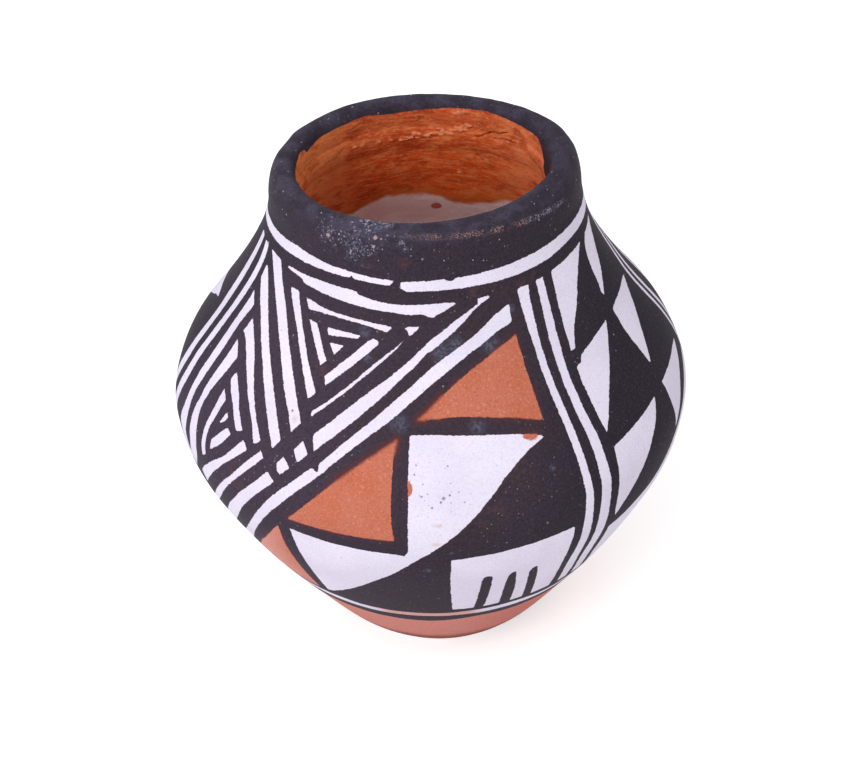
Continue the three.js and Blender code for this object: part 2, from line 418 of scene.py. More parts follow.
# A crumb is broader than tall, and stands out by that share of its size.
CRUMB_BREADTH, CRUMB_FLATNESS, CRUMB_RISE = 1.5, 1.3, 0.9
# Height, size and seed of the noises of fingers and of wiping, which end below the lip.
FINGERED = ((0.12, 7, 11), (0.06, (5, 5, 1.6), 12))
INNER_WIPED = ((0.035, (2.4, 2.4, 0.7), 13), (0.02, 0.7, 14))
INNER_MARKS_END = (74.6, 76)


def gaping(at, from_back):
    """The depth of the cracks, in mm."""
    wander = roughness(at * (1, 1, 0), CRACK_WANDER)
    gap = np.zeros(len(at))
    for depth, knots in CRACKS:
        turned, height = np.array(knots).T
        away = at[:, 2] - np.interp(from_back, turned, height) - wander
        opened = smoothstep(from_back, turned[0], turned[0] + CRACK_OPENS)
        opened = opened - smoothstep(from_back, turned[-1] - CRACK_CLOSES, turned[-1])
        gap = np.maximum(gap, depth * opened * np.exp(-((away / CRACK_HALF_WIDTH) ** 2)))
    return gap


def crumbling(at, from_back):
    """The height of the crumbs of the open seam, in mm."""
    radius = np.hypot(at[:, 0], at[:, 1])
    ragged = 1 + roughness(at, RAGGED)
    rise = np.zeros(len(at))
    for place, height, size in inner_crumbs:
        across = np.radians(from_back - place) * radius
        up = CRUMB_FLATNESS * (at[:, 2] - height)
        away = ragged * np.hypot(across / CRUMB_BREADTH, up) / size
        rise = np.maximum(rise, CRUMB_RISE * size * np.clip(1 - away**2, 0, 1))
    return rise


def inner_relief(at):
    """Finger marks, wiping, cracks and crumbs, in mm towards the hollow, and the last two alone."""
    from_back = np.degrees(np.arctan2(at[:, 0], at[:, 1]))
    fade = 1 - smoothstep(at[:, 2], *INNER_MARKS_END)
    surface = fade * (roughness(at, FINGERED) + roughness(at, INNER_WIPED))
    marks = fade * (crumbling(at, from_back) - gaping(at, from_back))
    return surface + marks + thicker_lip(at), marks


print(len(inner_crumbs), "crumbs in the neck,", len(CRACKS), "cracks")

# %% [markdown]
# Every member of the pot is a ring, so all are made in one way: a circle with a corner for each
# point is laid on the ring's outline and spun through an eighth of a turn, and the slice is doubled
# three times. The doubled seams are merged and the normals are set outwards. One spin all the way
# round gives the same ring, but takes very long with so many corners.

# %% Spinning a ring from its outline
DOUBLINGS = 3
SLICE = 2 * math.pi / 2**DOUBLINGS
SAME_PLACE = 0.002 * MM


def to_object_mode():
    """Leaves edit mode, if need be, and deselects everything."""
    if bpy.context.object and bpy.context.object.mode != "OBJECT":
        bpy.ops.object.mode_set(mode="OBJECT")
    bpy.ops.object.select_all(action="DESELECT")


def spun_ring(name, outline, steps):
    """A closed ring from an outline of radius and height in mm. Its corners keep their row."""
    to_object_mode()
    bpy.ops.mesh.primitive_circle_add(vertices=len(outline), fill_type="NOTHING")
    ring = bpy.context.object
    ring.name = ring.data.name = name
    at = np.array([(radius, 0, height) for radius, height in outline])
    ring.data.vertices.foreach_set("co", (at * MM).ravel())
    row = ring.data.attributes.new("row", "INT", "POINT")
    row.data.foreach_set("value", np.arange(len(at), dtype=np.int32))
    bpy.ops.object.mode_set(mode="EDIT")
    bpy.ops.mesh.select_all(action="SELECT")
    bpy.ops.mesh.spin(
        steps=steps // 2**DOUBLINGS, angle=SLICE, center=(0, 0, 0), axis=(0, 0, 1)
    )
    for angle in SLICE * 2.0 ** np.arange(DOUBLINGS):
        bpy.ops.mesh.select_all(action="SELECT")
        bpy.ops.mesh.duplicate()
        bpy.ops.transform.rotate(value=angle, orient_axis="Z", center_override=(0, 0, 0))
    bpy.ops.mesh.select_all(action="SELECT")
    bpy.ops.mesh.remove_doubles(threshold=SAME_PLACE)
    bpy.ops.mesh.delete_loose()
    bpy.ops.mesh.select_all(action="SELECT")
    bpy.ops.mesh.normals_make_consistent(inside=False)
    bpy.ops.object.mode_set(mode="OBJECT")
    print(name, "spun with", len(ring.data.vertices), "corners")
    return ring


print("a ring is spun through", round(math.degrees(SLICE)), "degrees and doubled", DOUBLINGS, "times")

# %% [markdown]
# A spun ring is perfectly round. Now each corner is moved out of the clay or into it by the relief
# of its place, and then as the hand-made shape asks. A displace modifier moves corners along their
# normals, but here the way out of the clay is known from the outline, so it is used.

# %% Giving a ring its relief
SHARP_FROM = math.radians(40)


def corners(ring):
    """The places of a piece's corners in mm, and the rows of the outline they came from."""
    at = np.zeros(len(ring.data.vertices) * 3)
    ring.data.vertices.foreach_get("co", at)
    row = np.zeros(len(ring.data.vertices), np.int32)
    ring.data.attributes["row"].data.foreach_get("value", row)
    return at.reshape(-1, 3) / MM, row


def note(ring, name, values):
    """Keeps a number for each corner, for the finish to read."""
    layer = ring.data.attributes.new(name, "FLOAT", "POINT")
    layer.data.foreach_set("value", np.asarray(values, np.float32))


def settle(ring, faces):
    """Gives a ring its relief and its hand-made shape. faces has one entry for each row:
    the way out of the clay as radius and height, and the relief that the row takes."""
    at, row = corners(ring)
    turned = np.arctan2(at[:, 1], at[:, 0])
    out = np.array([way for way, relief in faces])[row]
    kinds = np.array([relief for way, relief in faces])[row]
    shift, marks = np.zeros(len(at)), np.zeros(len(at))
    for kind, relief in (("outer", outer_relief), ("inner", inner_relief)):
        chosen = kinds == kind
        shift[chosen], marks[chosen] = relief(at[chosen])
    at[:, 0] += shift * out[:, 0] * np.cos(turned)
    at[:, 1] += shift * out[:, 0] * np.sin(turned)
    at[:, 2] += shift * out[:, 1]
    ring.data.vertices.foreach_set("co", (hand_turned(at) * MM).ravel())
    ring.data.update()
    note(ring, "marks", marks)
    to_object_mode()
    ring.select_set(True)
    bpy.context.view_layer.objects.active = ring
    bpy.ops.object.shade_smooth_by_angle(angle=SHARP_FROM)
    print(ring.name, len(ring.data.polygons), "faces")
    return ring


def ways(points):
    """The way out of the clay at each point of a line that has the clay on its left."""
    run = np.gradient(np.asarray(points), axis=0)
    run /= np.linalg.norm(run, axis=1, keepdims=True)
    return np.stack([run[:, 1], -run[:, 0]], -1)


def made_ring(name, stretches, steps):
    """stretches are lines of the outline, anticlockwise, each with the relief it takes."""
    outline, faces = [], []
    for line, relief in stretches:
        outline += [tuple(point) for point in line]
        faces += [(way, relief) for way in ways(line)]
    return settle(spun_ring(name, outline, steps), faces)


print("edges of more than", round(math.degrees(SHARP_FROM)), "degrees stay sharp")

# %% [markdown]
# The clay members come first. All of them lie between two faces: an outside, which the coats cover,
# and an inside, which is bare below the neck. The outside is never seen, so only the inside is cut
# finely.

# %% The two faces of the clay
COAT = 0.3
UNDER_WASH = 0.45
WASH_FOOT = length_at(54)
CLAY_STEPS = 288
CLAY_ROW = 0.9
HIDDEN_ROW = 3


def rows(low, high, spacing):
    """Lengths from low to high, about as far apart as the spacing."""
    return np.linspace(low, high, max(2, round((high - low) / spacing) + 1))


def clay_outside(low, high):
    """The outside of the clay, from low to high, under its coat."""
    length = rows(low, high, HIDDEN_ROW)
    return in_wall(length, np.full(len(length), COAT))


def clay_inside(low, high):
    """The inside of the clay, from high to low. Under the wash it is set back."""
    length = rows(low, high, CLAY_ROW)[::-1]
    back = COAT + UNDER_WASH * smoothstep(length, WASH_FOOT, WASH_FOOT + 1)
    return in_wall(length, inside_depth(length) - back)


print("the wash reaches down to", round(WASH_FOOT, 1), "mm up the wall")

# %% [markdown]
# The base pat is a flat cake of clay with its edge turned up. It could stand flat on the table, but
# a flat cake rocks, so such pots have a hollow with a ring round it to rest on. The floor inside is
# dished, and runs up into the first coil.

# %% Base pat
RESTING_RING_INNER = 8.5
BASE_HOLLOW_DEPTH = 0.9
FLOOR_HEIGHT = 5.4
FLOOR_DIP = 0.3
FLOOR_FLAT_RADIUS = 7
DISH_REACH = 2.6


def curve_between(start, pull, end, count):
    """A curve that leaves towards the pull and arrives from it."""
    t = np.linspace(0, 1, count)[:, None]
    start, pull, end = (np.array(point, float) for point in (start, pull, end))
    return (1 - t) ** 2 * start + 2 * t * (1 - t) * pull + t**2 * end


pat_seam = in_wall(INNER_SEAMS[0], inside_depth(INNER_SEAMS[0]) - COAT)
dish = curve_between(
    pat_seam, (pat_seam[0] - DISH_REACH, FLOOR_HEIGHT), (FLOOR_FLAT_RADIUS, FLOOR_HEIGHT), 12
)
floor_middle = curve_between(
    (FLOOR_FLAT_RADIUS - 0.6, FLOOR_HEIGHT - 0.02),
    (FLOOR_FLAT_RADIUS / 2, FLOOR_HEIGHT - FLOOR_DIP / 2),
    (0, FLOOR_HEIGHT - FLOOR_DIP),
    8,
)
hollow = curve_between(
    (0, BASE_HOLLOW_DEPTH),
    (RESTING_RING_INNER * 0.7, BASE_HOLLOW_DEPTH),
    (RESTING_RING_INNER, 0),
    12,
)
resting_ring = [(radius, 0) for radius in (9.4, 10.8, 12.2, 13.4)]
foot_corner = curve_between((13.8, 0.02), (14.7, 0.1), clay_outside(0, 1)[0], 4)[:-1]
clay = [
    made_ring(
        "base_pat_clay",
        [
            (hollow, "still"),
            (resting_ring, "still"),
            (foot_corner, "still"),
            (clay_outside(0, OUTER_SEAMS[0]), "still"),
            (dish, "inner"),
            (floor_middle, "inner"),
        ],
        CLAY_STEPS,
    )
]

# %% [markdown]
# Five coils and the rim coil follow, each lapped over the inside of the one below, so its outer seam
# lies higher than its inner one. The rim coil ends in the rounded lip, a little under the paint.

# %% Wall coils and rim coil
# Shares of the way over the lip where its clay starts and ends, and how far it lies under the coat.
LIP_CLAY = (0.03, 0.97)
LIP_CLAY_UNDER = 0.1
for i in range(1, JOINT_COUNT):
    clay.append(
        made_ring(
            f"wall_coil_{i}_clay",
            [
                (clay_outside(OUTER_SEAMS[i - 1], OUTER_SEAMS[i]), "still"),
                (clay_inside(INNER_SEAMS[i - 1], INNER_SEAMS[i]), "inner"),
            ],
            CLAY_STEPS,
        )
    )
clay.append(
    made_ring(
        "rim_coil_clay",
        [
            (clay_outside(OUTER_SEAMS[-1], WALL_LENGTH), "still"),
            (lip_points(*LIP_CLAY, 24, COAT + LIP_CLAY_UNDER), "still"),
            (clay_inside(INNER_SEAMS[-1], WALL_LENGTH), "still"),
        ],
        CLAY_STEPS,
    )
)
print(len(clay), "members of clay")

# %% [markdown]
# The coats lie on the clay: orange slip on the foot, white slip on the body, black paint on the rim
# and an orange-brown wash inside the neck. Where two coats meet, one piece carries the brush line
# itself and the join lies beside it, where both have the same colour, so no seam shows. The body's
# two pieces take nearly all the faces that a piece may have, because they carry the painting.

# %% Coats of the foot and the body
FOOT_STEPS = 256
FOOT_ROW = 0.6
BODY_STEPS = 720
BODY_ROW = 0.26
BODY_LOW = 16.8
BODY_SPLIT = 49.6
BODY_HIGH = 82.2
BACK_ROW = 6


def outside_coat(name, low, high, spacing, steps):
    """A coat on the outside, and the lengths up the wall of its rows."""
    face, back = rows(low, high, spacing), rows(low, high, BACK_ROW)[::-1]
    stretches = [
        (in_wall(face, np.zeros(len(face))), "outer"),
        (in_wall(back, np.full(len(back), COAT)), "still"),
    ]
    return made_ring(name, stretches, steps), np.concatenate([face, back])


foot_coat = outside_coat("foot_slip", 0, BODY_LOW, FOOT_ROW, FOOT_STEPS)[0]
body_coats = [
    outside_coat("painted_body_low", BODY_LOW, BODY_SPLIT, BODY_ROW, BODY_STEPS),
    outside_coat("painted_body_high", BODY_SPLIT, BODY_HIGH, BODY_ROW, BODY_STEPS),
]

# %% [markdown]
# The paint of the rim goes up the last of the wall, over the lip and a little way down inside. The
# piece could end on top of the lip, but there the join would show. Inside the lip it doesn't.

# %% Rim paint
RIM_STEPS = 640
RIM_ROW = 0.25
RIM_BACK_ROW = 1.0
BELOW_LIP = WALL_LENGTH - 0.05
RIM_END = 0.93
LIP_ROWS = 50

band = rows(BODY_HIGH, BELOW_LIP, RIM_ROW)
band_back = rows(BODY_HIGH, BELOW_LIP, RIM_BACK_ROW)[::-1]
over = np.linspace(0.004, RIM_END, LIP_ROWS)
rim_face = np.vstack(
    [in_wall(band, np.zeros(len(band))), lip_points(over[0], over[-1], LIP_ROWS, 0)]
)
rim_coat = made_ring(
    "rim_paint",
    [
        (rim_face, "outer"),
        (lip_points(LIP_CLAY[0], RIM_END, 20, COAT)[::-1], "still"),
        (in_wall(band_back, np.full(len(band_back), COAT)), "still"),
    ],
    RIM_STEPS,
)

# %% [markdown]
# The wash covers the inside of the neck. Low down it thins out on the clay, and inside the lip it
# takes over from the rim paint. From the open seam upwards its rows lie closer together, because the
# crumbs and cracks there are only tenths of a millimetre wide.

# %% Wash in the neck
NECK_STEPS = 880
NECK_ROW = 0.36
SEAM_FOOT, SEAM_START = 80.6, 80.8
SEAM_ROW = 0.16
NECK_BACK_ROW = 1.5
WASH_TAPER = 5
WASH_BACKING = 0.3
LIP_TAIL = (RIM_END, 0.996, 8)

neck = rows(WASH_FOOT, SEAM_FOOT, NECK_ROW), rows(SEAM_START, BELOW_LIP, SEAM_ROW)
neck = np.concatenate(neck)[::-1]
neck_back = rows(WASH_FOOT, WALL_LENGTH, NECK_BACK_ROW)
neck_taper = COAT * (1 - smoothstep(neck, WASH_FOOT, WASH_FOOT + WASH_TAPER))
neck_face = np.vstack([lip_points(*LIP_TAIL, 0), in_wall(neck, inside_depth(neck) - neck_taper)])
wash_coat = made_ring(
    "neck_wash",
    [
        (neck_face, "inner"),
        (in_wall(neck_back, inside_depth(neck_back) - COAT - WASH_BACKING), "still"),
        (lip_points(RIM_END, LIP_CLAY[1], 5, COAT)[::-1], "still"),
    ],
    NECK_STEPS,
)

# %% [markdown]
# The painting is a traditional geometric one: bands of stripes stand between panels, one panel with
# nested triangles, stepped orange triangles and a white field, the next with rows of white
# triangles on black. White is the slip left bare, and all that is neither white nor orange is black
# paint. It could be a picture, but no picture is used here. Each patch is a short outline, given as
# turn from the front in degrees and length up the wall in millimetres. A tuple of points is one
# smooth pull of the brush, and a corner comes where the next one starts. The lower nest is first: its
# uprights on the left, and the bars that rise from their feet to the right.

# %% White patches of the lower nest
LOWER_NEST = [
    [((-69.1, 71.9), (-65, 70.5)),
     ((-65, 70.5), (-66.4, 68), (-66.9, 66), (-66.9, 62), (-67.3, 58), (-68, 55), (-68.1, 52),
      (-67.9, 50), (-68, 48), (-66.5, 45)),
     ((-69.5, 43), (-72, 48), (-71.9, 50), (-71, 52), (-70.5, 55), (-70, 60), (-70.1, 65),
      (-69.7, 68), (-69.1, 71.9))],
    [((-63.4, 65.4), (-59.4, 63.6)),
     ((-59.4, 63.6), (-60.4, 61), (-61.5, 58.5), (-62.1, 57), (-62.8, 55), (-62.7, 53), (-62.2, 51),
      (-61.6, 49.4), (-61.9, 47), (-63.3, 45.2), (-65.5, 43.3)),
     ((-68, 43.9), (-66, 46.3), (-65.2, 48.4), (-65.6, 51), (-65.5, 53), (-64.8, 55), (-64.4, 58),
      (-63.9, 61), (-63.4, 65.4))],
    [((-57.8, 59.2), (-55.4, 58)),
     ((-55.4, 58), (-56.4, 55), (-57.3, 53), (-57.5, 51), (-56.8, 49)),
     ((-58.3, 48.3), (-59, 50.5), (-58.9, 52.5), (-58.4, 54.6), (-57.8, 57), (-57.8, 59.2))],
    [((-54.4, 54.7), (-53.2, 56.8)), ((-52.3, 56.3), (-52.6, 55.5))],
    [((-55.5, 51.8), (-51.2, 55)), ((-49.6, 54.4), (-52, 52.3), (-55.3, 50.3))],
    [((-61.5, 44.2), (-59, 46), (-55, 48.4), (-52, 50), (-50, 51.1), (-47, 53.5), (-45.3, 54.8)),
     ((-43.7, 53.7), (-50, 49.8), (-55, 46.4), (-59, 43.6), (-61, 42.2))],
    [((-62, 38.8), (-59.3, 40.5), (-55, 43.6), (-50, 47.2), (-47, 49.2), (-43, 52.4), (-39.9, 54.6)),
     ((-38.8, 53.8), (-45, 49.4), (-50, 45.8), (-55, 41.9), (-60, 38.5), (-62, 37.2))],
    [((-64, 32.4), (-60, 35.4), (-56, 38.4), (-52, 41.6), (-49, 43.8), (-45, 46.8), (-40, 50.2),
      (-37.2, 52.3)),
     ((-35.2, 51.2), (-40, 48), (-45, 44.3), (-50, 40), (-55, 36.3), (-60, 32.3), (-63, 30.3))],
    [((-29.9, 57.9), (-28.2, 56.3)), ((-30.4, 54.9), (-31.7, 56.4))],
    [((-33.8, 55.1), (-31.9, 53.8)), ((-34, 52.5), (-34.7, 52.8), (-35.3, 53.8))],
]
UPRIGHTS = LOWER_NEST[:2]
print(len(LOWER_NEST), "patches in the lower nest")

# %% [markdown]
# Between the nests, bars fall from the upper left to the middle. The upper nest hangs from the top of
# the panel. Both are left white between strokes of black, so their edges aren't quite parallel, and
# each has an outline of its own instead of being one bar copied.

# %% White patches between the nests and of the upper nest
FALLING_BARS = [
    [((-69.6, 78.4), (-61, 78.4)),
     ((-61, 78.4), (-57, 76.5), (-50, 73.5), (-45, 70.4), (-40, 67), (-35, 63), (-31.7, 60)),
     ((-33.6, 58.5), (-36, 60.9), (-40, 63.9), (-45, 67.7), (-50, 70.7), (-55, 73.1), (-60, 75.1),
      (-65, 76.9), (-69.6, 78.3))],
    [((-69.3, 75.9), (-67, 75.7), (-60, 72.9), (-55, 70.4), (-50, 67.6), (-45, 64.5), (-40, 61),
      (-35.5, 57)),
     ((-37.2, 55.4), (-40, 58.3), (-45, 62.1), (-50, 65.4), (-55, 68.1), (-60, 70.5), (-69, 74))],
    [((-62.2, 69.1), (-58, 67.5), (-54, 65.5), (-45, 59.1), (-40.7, 55.8)),
     ((-42.3, 54.9), (-45, 57.7), (-50, 60.9), (-55, 63.7), (-60, 66.1), (-63.2, 66.8))],
    [((-56.9, 62), (-55, 61.3), (-52, 59.7), (-50, 58.2), (-46.4, 55.7)),
     ((-48.4, 55.3), (-50, 56.4), (-52, 57.9), (-55, 59.4), (-57.2, 60.6))],
]
UPPER_NEST = [
    [((-50.9, 76.2), (-46.2, 76.2)),
     ((-46.2, 76.2), (-40, 71.9), (-35, 68.1), (-30.1, 64.4)),
     ((-31.8, 63.3), (-35, 66.1), (-40, 70), (-43, 72), (-47, 74.2), (-50.9, 76.2))],
    [((-38.5, 73.4), (-35.4, 73.3)), ((-29.4, 68.9), (-30.8, 68.1))],
    [((-29.7, 71.4), (-24.9, 71.4)), ((-27.5, 70),)],
    [((-31.7, 73.3), (-20.3, 73.2)), ((-20.9, 72.7), (-25, 72.6), (-30.6, 72.3))],
    [((-42.3, 76), (-35, 75.6), (-30, 75.4), (-20, 75.2), (-10.5, 74.8)),
     ((-12.5, 74), (-15, 74.3), (-20, 74.7), (-30, 74.9), (-40, 74.7))],
    [((-7.4, 74.9), (-2.6, 74.9)), ((-6, 73.5), (-6, 73.9), (-6.6, 74.5))],
    [((-55.4, 78.5), (-50, 78.6), (-35, 78.9), (-23, 78.9)),
     ((-22.4, 78.5), (-17, 78.1), (-10, 77.8), (5, 77.8), (9.4, 77.7)),
     ((1.3, 76), (0, 76.1), (-2, 76.5), (-6, 76.5), (-15, 76.8), (-25, 77.1), (-45, 77.6)),
     ((-46.3, 78), (-55, 78.2))],
    [((-29, 66.8), (-25, 69), (-20.5, 71.3), (-18, 72.5), (-16.5, 73), (-15.2, 72.9)),
     ((-14.5, 72.5), (-17.5, 71), (-20, 69.8), (-28, 65.8))],
    [((-29.8, 61.9), (-20, 67.3), (-15, 69.9), (-7.6, 73)),
     ((-9, 72.1), (-13, 70.2), (-20, 66.7), (-29.8, 61.2))],
]
print(len(FALLING_BARS), "falling bars,", len(UPPER_NEST), "patches in the upper nest")

# %% [markdown]
# Two long bars rise to the right top of the panel, one from its middle and one all the way from its
# left foot. They part the nests from the orange triangles and the white field below.

# %% The two long bars
LONG_BARS = [
    [((-27.9, 59.1), (-20, 63.9), (-15, 66.4), (-10, 68.6), (-5, 70.8), (0, 73), (4, 74.2), (9, 75.6),
      (15.6, 77)),
     ((15.7, 77.7), (20.6, 77.7)),
     ((18, 77.2), (14, 76.3), (9, 74.5), (4, 72.9), (0, 71.6), (-1, 71.4), (-3.5, 70.1), (-7.5, 68.2),
      (-10, 66.9), (-15, 64.1), (-20, 61.2), (-26.9, 57))],
    [((-66, 25.8), (-60, 29.8), (-55, 33.7), (-50, 36.9), (-45, 40.9), (-40, 45.3), (-35, 49.4),
      (-30, 52.7), (-26.8, 54.8)),
     ((-26.3, 54.7), (-25.5, 54.4), (-25.1, 54.8), (-25.2, 55.5)),
     ((-25.2, 55.5), (-20, 59.1), (-15, 62), (-10, 64.8), (-5, 67.2), (0, 69.4), (5, 71),
      (10, 72.3), (15, 73.6), (20, 75), (25.8, 75.9)),
     ((25.2, 73.6), (20, 72.9), (15, 71.8), (10, 70.6), (5, 69.1), (0, 67.3), (-5, 65.1),
      (-10, 62.6), (-15, 60.1), (-20, 57.2), (-25, 53.9), (-30, 50.7), (-35, 47.2), (-40, 43.2),
      (-45, 38.8), (-50, 34.7), (-55, 31.2), (-60, 27.8), (-63.5, 25.3))],
]
NESTS = LOWER_NEST + FALLING_BARS + UPPER_NEST + LONG_BARS
print(len(NESTS), "white patches over the field")

# %% [markdown]
# Under the bars lie the stepped white field, the white square with three strokes on it, and the
# orange triangles. Where orange ran past its black outline, a little of it stayed on the white.

# %% The stepped field, the square, its strokes and the orange
FIELD = [
    [((-5.4, 60.8), (2, 60.7), (10, 60.2), (15, 59.8), (19, 59.4), (24.8, 58.3)),
     ((24.8, 58.3), (20, 57), (15, 54.8), (10, 51.5), (5, 48.1), (0, 44.9), (-5, 42), (-10, 38.5),
      (-15, 35.2), (-20, 31.8), (-25, 28.8), (-30, 26.2), (-33, 25.2)),
     ((-33, 25.2), (-32.5, 30), (-32.2, 34), (-31.8, 39), (-32, 44.2)),
     ((-32, 44.2), (-20, 43.7), (-10, 43.4), (-7, 43.1)),
     ((-6.2, 44), (-6, 46), (-5.7, 52), (-5.7, 56), (-5.4, 60.8))],
    [((2.4, 42.1), (28.9, 43.5)), ((28.9, 43.5), (29.5, 35), (31.5, 24.2)),
     ((2.9, 24.2), (2.2, 34), (2.4, 42.1))],
]
STROKES = [
    [((8.8, 23.6), (9.1, 30), (9.3, 35.5), (9.9, 36.4), (11, 36.4), (11.6, 35.5), (11.8, 30),
      (11.5, 23.6))],
    [((16, 23.6), (15.4, 30), (15.3, 34), (15.6, 35.7), (16.5, 36.3), (17.1, 35.7), (18.4, 30),
      (19.2, 23.6))],
    [((22.9, 23.6), (21.5, 30), (20.6, 34.3), (20.9, 35.6), (21.7, 36), (22.4, 35.3), (24, 30),
      (25.6, 23.6))],
]
ORANGE = [
    [((-3.6, 62.7), (0, 64.5), (5, 66.8), (10, 68.5), (15, 69.8), (20, 70.9), (25.4, 71.9)),
     ((25.5, 60.3), (20, 61.4), (15, 62.1), (10, 62.6), (5, 62.9), (-3.6, 62.7))],
    [((-31.9, 46.1), (-30, 47.6), (-25, 51.1), (-20, 54.3), (-15, 57), (-8.3, 60.1)),
     ((-8.3, 60.1), (-8.9, 57), (-9.2, 51), (-8.8, 46)), ((-20, 46.1), (-31.9, 46.1))],
    [((-62, 24.6), (-55, 29), (-50, 32.5), (-45, 36.2), (-40, 40), (-35.2, 44)),
     ((-35.2, 44), (-35.4, 39), (-36, 31), (-36.4, 24.6))],
]
SPILLS = [
    [((-5.75, 55.1), (-5.1, 54.6), (-4.85, 53.9), (-5.2, 53), (-5.75, 52.7))],
    [((19.4, 59.3), (21, 59.1), (23.2, 58.8)), ((22.9, 58.35), (21.3, 58.2), (19.8, 58.7))],
]
print(len(FIELD), "fields,", len(ORANGE), "orange patches")

# %% [markdown]
# Two white stripes run down between the panels, four times round the pot. They lean and swell as the
# hand did, so both sides of each are drawn.

# %% White stripes
LEFT_STRIPES = [
    [((-85.7, 78.2), (-85.2, 70), (-83.5, 64), (-83, 59), (-84, 55), (-87, 50), (-88, 44),
      (-87, 38), (-86.5, 30), (-87.5, 24.4)),
     ((-83.5, 24.4), (-83, 30), (-83.8, 38), (-84.6, 44), (-83.5, 50), (-80.5, 55), (-80, 59),
      (-80.3, 64), (-80.8, 70), (-81.7, 78.2))],
    [((-78, 78.2), (-76.2, 75), (-76.3, 70), (-76.8, 64), (-77, 59), (-77.5, 55), (-80, 50),
      (-81, 44), (-80.4, 38), (-79.6, 30), (-80, 24.4)),
     ((-75.8, 24.4), (-76, 30), (-77.2, 38), (-77.8, 44), (-76.8, 50), (-74.5, 55), (-74.2, 59),
      (-74, 64), (-73, 70), (-72.5, 75), (-73.8, 78.2))],
]
RIGHT_STRIPES = [
    [((29.9, 77.4), (29.8, 70), (29.6, 65), (29.8, 60), (30.3, 55), (30.8, 50), (31.1, 45),
      (31.4, 40), (31.8, 35), (32.6, 30), (34.6, 24.2)),
     ((37.7, 24.2), (35.8, 30), (34.4, 35), (33.8, 40), (33.2, 45), (32.6, 50), (32.1, 55),
      (31.6, 60), (31.6, 65), (32.2, 70), (33.5, 75), (34.6, 77.4))],
    [((38, 77.4), (37.3, 75), (35.4, 70), (34.3, 65), (33.9, 60), (34.6, 55), (35, 50), (35.1, 45),
      (35.5, 40), (36.1, 35), (37.1, 30), (39.8, 24.2)),
     ((43.2, 24.2), (40.4, 30), (39.1, 35), (38.4, 40), (37.8, 45), (37.5, 50), (37, 55), (36.2, 60),
      (36.7, 65), (38.4, 70), (40.5, 75), (41.1, 77.4))],
]
print(len(LEFT_STRIPES) + len(RIGHT_STRIPES), "stripes in sight")

# %% [markdown]
# The panel to the right of the front has two columns of white triangles on black. The lower right of
# it can't be seen in the photograph, so there the lowest patch is drawn on in the same manner.

# %% The panel of triangles
TRIANGLES = [
    [((45.4, 77.5), (65.9, 77.9)),
     ((65.9, 77.9), (60, 76.1), (55, 74.2), (50, 71.8), (45, 69.5), (41.9, 67)),
     ((40.4, 67), (41.6, 70), (43, 73), (44.2, 75), (45.4, 77.5))],
    [((39.9, 64.9), (41.7, 65)), ((42.6, 65.8), (50, 66.8), (57.8, 67.4)),
     ((57.8, 67.4), (55, 65.8), (50, 62.9), (45, 59.9), (42, 57.5), (39.5, 55.2)),
     ((39.5, 55.2), (39, 57.5), (38.9, 60), (39.2, 63), (39.9, 64.9))],
    [((40.1, 53.1), (50, 54.1), (57.8, 54.8)),
     ((57.8, 54.8), (55, 52.2), (50, 49), (45, 44.8), (40.8, 40.7)),
     ((40.8, 40.7), (40, 44), (39.9, 49), (40.1, 53.1))],
    [((40.5, 38.3), (45, 39.1), (50, 40.4), (55, 41.5), (60, 43.6), (65, 46), (70, 48.2),
      (76, 50.3), (86, 51.8)),
     ((86, 51.8), (85, 35), (86.5, 24.2)),
     ((45.6, 24.2), (42.5, 30), (41.3, 35), (40.5, 38.3))],
    [((63, 70.6), (64.4, 72), (65.3, 74), (67, 76), (69, 77.1), (71.5, 77.9)),
     ((71.5, 77.9), (83, 78.3)),
     ((83, 78.3), (80, 77), (75, 74.7), (70, 72.4), (63.5, 69.9))],
    [((63.2, 67.6), (67, 67.9), (78, 68), (82.6, 67.6)),
     ((82.6, 67.6), (79, 66.6), (75, 64.8), (70, 62.6), (66, 60.3), (63.3, 58.5)),
     ((62.7, 58.5), (62.4, 61), (62.3, 64), (63.2, 67.6))],
    [((63, 55.1), (70, 55.3), (78, 55.3), (82, 54.8)),
     ((82, 54.8), (77.5, 53.3), (72.5, 51.6), (68, 49.4), (64, 47.2)),
     ((64, 47.2), (63.6, 51), (63, 55.1))],
]
print(len(TRIANGLES), "triangles")

# %% [markdown]
# The far side of the pot can't be seen either. It could be left plain, but such a painting goes all
# the way round, so both panels and the stripes are repeated, a little wider, and fitted to each
# other where they meet.

# %% From pulls of the brush to outlines, all round the pot
PULL_STEPS = 5


def patch(pulls):
    """One patch as a closed outline. Every pull of the brush is smooth."""
    return np.vstack(
        [smooth_line(pull, PULL_STEPS) if len(pull) > 1 else np.array(pull) for pull in pulls]
    )


def moved(outline, old, new):
    """An outline carried from one stretch of the turn to another, wider or narrower."""
    scale = (new[1] - new[0]) / (old[1] - old[0])
    return np.stack([new[0] + (outline[:, 0] - old[0]) * scale, outline[:, 1]], -1)


PANEL_A, PANEL_A_BEHIND = (-79, 33.5), (92, 214)
PANEL_B, PANEL_B_BEHIND = (33.5, 92), (214, 281)
# Behind, the uprights end higher, and the square with its strokes lies further left.
UPRIGHTS_FOOT = 47
SQUARE_SHIFT = (5.5, 0)
# The triangles lie lower, one is narrower, and the lowest stops short of the stripes and the line.
LOWER_BEHIND = (0, -3.4)
NARROWED, NARROW, NARROW_BEHIND = 4, (63, 85), (250, 262)
LOWEST, LOWEST_FROM, LOWEST_TO = 3, (0, 24.2), (269.3, 99)
# The stripes are turned further round, and the right ones flare near the top.
RIGHT_STRIPES_TURN, FLARE, FLARE_LENGTHS = 57, 4, (66, 74)
LEFT_STRIPES_TURN = (293, 0)

